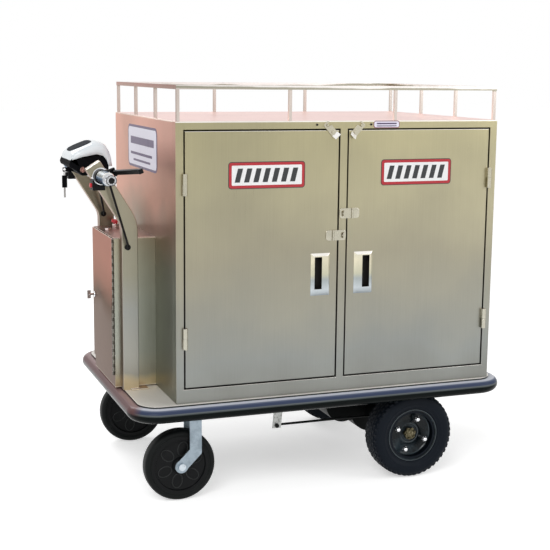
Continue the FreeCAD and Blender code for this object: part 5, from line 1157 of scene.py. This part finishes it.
def block_tree():
    """One row of tapered blocks round an axle: the studs of a tread, or the lugs of a slotted nut."""
    tree, inlet = row_tree("block_row", ("Skew", "Deep", "Long", "Wide"))
    spots, angle = spots_round(tree, inlet)
    size = add(tree, "ShaderNodeCombineXYZ", {0: inlet["Deep"], 1: inlet["Long"], 2: inlet["Wide"]})
    block = add(tree, "GeometryNodeMeshCube", {"Size": size.outputs[0]})
    facing = add(tree, "ShaderNodeSeparateXYZ", {0: add(tree, "GeometryNodeInputNormal").outputs[0]})
    outer = worked(tree, "GREATER_THAN", facing.outputs[0], BLOCK_OUTER)
    taper = add(tree, "GeometryNodeScaleElements",
                {"Geometry": block.outputs[0], "Selection": outer, "Scale": BLOCK_TAPER})
    turn = add(tree, "ShaderNodeCombineXYZ", {0: inlet["Skew"], 2: angle})
    return close_row(tree, inlet, spots, taper.outputs[0], turn.outputs[0])


blocks = block_tree()
for name, side in (("front", -1), ("rear", 1)):
    centre = AXLE + Vector((0, side * WHEEL_Y, 0)) * MM
    carcass = turned("carcass", [(both_sides(CARCASS_HALF), 0)], centre, (tyre_rubber,))
    rows = []
    for offset, top, phase, wide in STUD_ROWS:
        for place in {offset, -offset}:
            rows.append({"Radius": (top - STUD_DEEP / 2) * MM, "Offset": place * MM,
                         "Phase": phase * math.tau / STUD_COUNT, "Skew": STUD_SKEW * side,
                         "Deep": STUD_DEEP * MM, "Long": STUD_LONG * MM, "Wide": wide * MM,
                         "Count": STUD_COUNT, "Centre": centre, "Finish": tyre_rubber})
    add_piece(f"drive_tread_{name}", with_rows(carcass, blocks, rows), f"drive_{name}", "tyre",
              f"drive_tyre_{name}")

    profiles = [(to_side(DISH, side), 0), (to_side(SHAFT, side), 1)]
    rim = turned("drive_dish", profiles, centre, (rim_paint, brass, rim_edge_highlight))
    for face in rim.polygons:
        spot = face.center - centre
        radius = math.hypot(spot.x, spot.z) / MM
        if spot.y * side > 0 and any(low < radius < high for low, high in HIGHLIGHT_RINGS):
            face.material_index = 2
    add_piece(f"drive_dish_{name}", rim, f"drive_{name}", "chassis_black", f"drive_rim_{name}")

    def near_the_hub(spot, normal, middle=centre):
        away = spot - middle
        return math.hypot(away.x, away.z) < NUT_REACH * MM

    eased(f"drive_nuts_{name}", 0.8, "chrome", chrome, brass, inner=near_the_hub)
    washer = turned("castle", [(to_side(WASHER, side), 0)], centre, (brass,))
    lugs = with_rows(washer, blocks, [{**CASTLE, "Offset": -side * CASTLE_OUT * MM, "Centre": centre}])
    add_piece(f"castle_{name}", lugs, f"drive_{name}", "chrome")

# The axle tube, gear case and motor hang between the wheels, and a strap and rod stop them from turning.
# Case and motor are painted cast iron, the strap is drilled galvanised bar.
strap_zinc = coated("strap_zinc", (0.42, 0.43, 0.42), (0.2, 0.2, 0.19), 0.45, 300, 0.0002, metal=1,
                    reach=0.5, broad=90)
dress(black_paint, "axle_housing", "drive_motor", "stay_rod")
eased("stay_strap", 0.5, "zinc", strap_zinc)

# The studio is a pale floor under soft lamps, seen from the photograph's viewpoint.
# Floor and sky are white to the camera and to reflections, and the floor keeps the shadow.
FLOOR_HALF = 30
FLOOR_LIFT = 0.5
SKY_LIGHT = 0.55
floor_mesh = bpy.data.meshes.new("floor")
corners = [(sx * FLOOR_HALF, sy * FLOOR_HALF, 0) for sx, sy in ((-1, -1), (1, -1), (1, 1), (-1, 1))]
floor_mesh.from_pydata(corners, [], [(0, 1, 2, 3)])
floor = bpy.data.objects.new("floor", floor_mesh)
bpy.context.scene.collection.objects.link(floor)


def seen_directly(tree):
    """One for rays from the camera, reflections and clear pieces, nought for the rest."""
    path = add(tree, "ShaderNodeLightPath").outputs
    first = worked(tree, "MAXIMUM", path["Is Camera Ray"], path["Is Glossy Ray"])
    return worked(tree, "MAXIMUM", first, path["Is Transmission Ray"])


floor_paint, floor_tree, floor_skin = bare_material("floor_paint")
floor_skin.inputs["Base Color"].default_value = (0.86, 0.86, 0.86, 1)
floor_skin.inputs["Roughness"].default_value = 0.9
floor_skin.inputs["Emission Color"].default_value = (1, 1, 1, 1)
lift = worked(floor_tree, "MULTIPLY", seen_directly(floor_tree), FLOOR_LIFT)
floor_tree.links.new(lift, floor_skin.inputs["Emission Strength"])
floor_mesh.materials.append(floor_paint)

scene = bpy.context.scene
world = bpy.data.worlds.new("studio")
scene.world = world
world.use_nodes = True
sky_tree = world.node_tree
sky = sky_tree.nodes["Background"]
sky.inputs["Color"].default_value = (1, 1, 1, 1)
strength = ranged(sky_tree, seen_directly(sky_tree), 0, 1, SKY_LIGHT, 1)
sky_tree.links.new(strength, sky.inputs["Strength"])


def lamp(name, place, aim, size, watts):
    """A round soft lamp that looks at a spot."""
    light = bpy.data.lights.new(name, "AREA")
    light.shape = "DISK"
    light.size = size
    light.energy = watts
    holder = bpy.data.objects.new(name, light)
    holder.location = place
    holder.rotation_euler = (Vector(aim) - Vector(place)).to_track_quat("-Z", "Y").to_euler()
    scene.collection.objects.link(holder)


MIDDLE = (0, 0, 0.55)
lamp("key_lamp", (-2.2, -3.4, 3.4), MIDDLE, 2.4, 90)
lamp("fill_lamp", (3.2, -2.6, 2.2), MIDDLE, 2.4, 40)
lamp("back_lamp", (-1.5, 3.2, 3.0), MIDDLE, 2.0, 50)

# viewpoint, fitted to the cabinet's corners, the bumper and the wheels in the photograph
EYE = (-1.2118, -3.3142, 1.1747)
YAW = math.radians(20.42)
PITCH = math.radians(9.81)
ROLL = math.radians(0.58)
LENS = 77.51
SENSOR = 36
ahead = Vector((math.sin(YAW) * math.cos(PITCH), math.cos(YAW) * math.cos(PITCH), -math.sin(PITCH)))
level_right = Vector((math.cos(YAW), -math.sin(YAW), 0))
level_up = level_right.cross(ahead)
right = level_right * math.cos(ROLL) + level_up * math.sin(ROLL)
up = level_up * math.cos(ROLL) - level_right * math.sin(ROLL)
camera_data = bpy.data.cameras.new("camera")
camera_data.lens = LENS
camera_data.sensor_width = SENSOR
camera = bpy.data.objects.new("camera", camera_data)
turn = Matrix((right, up, -ahead)).transposed().to_4x4()
camera.matrix_world = Matrix.Translation(EYE) @ turn
scene.collection.objects.link(camera)
scene.camera = camera
scene.view_settings.view_transform = "Standard"
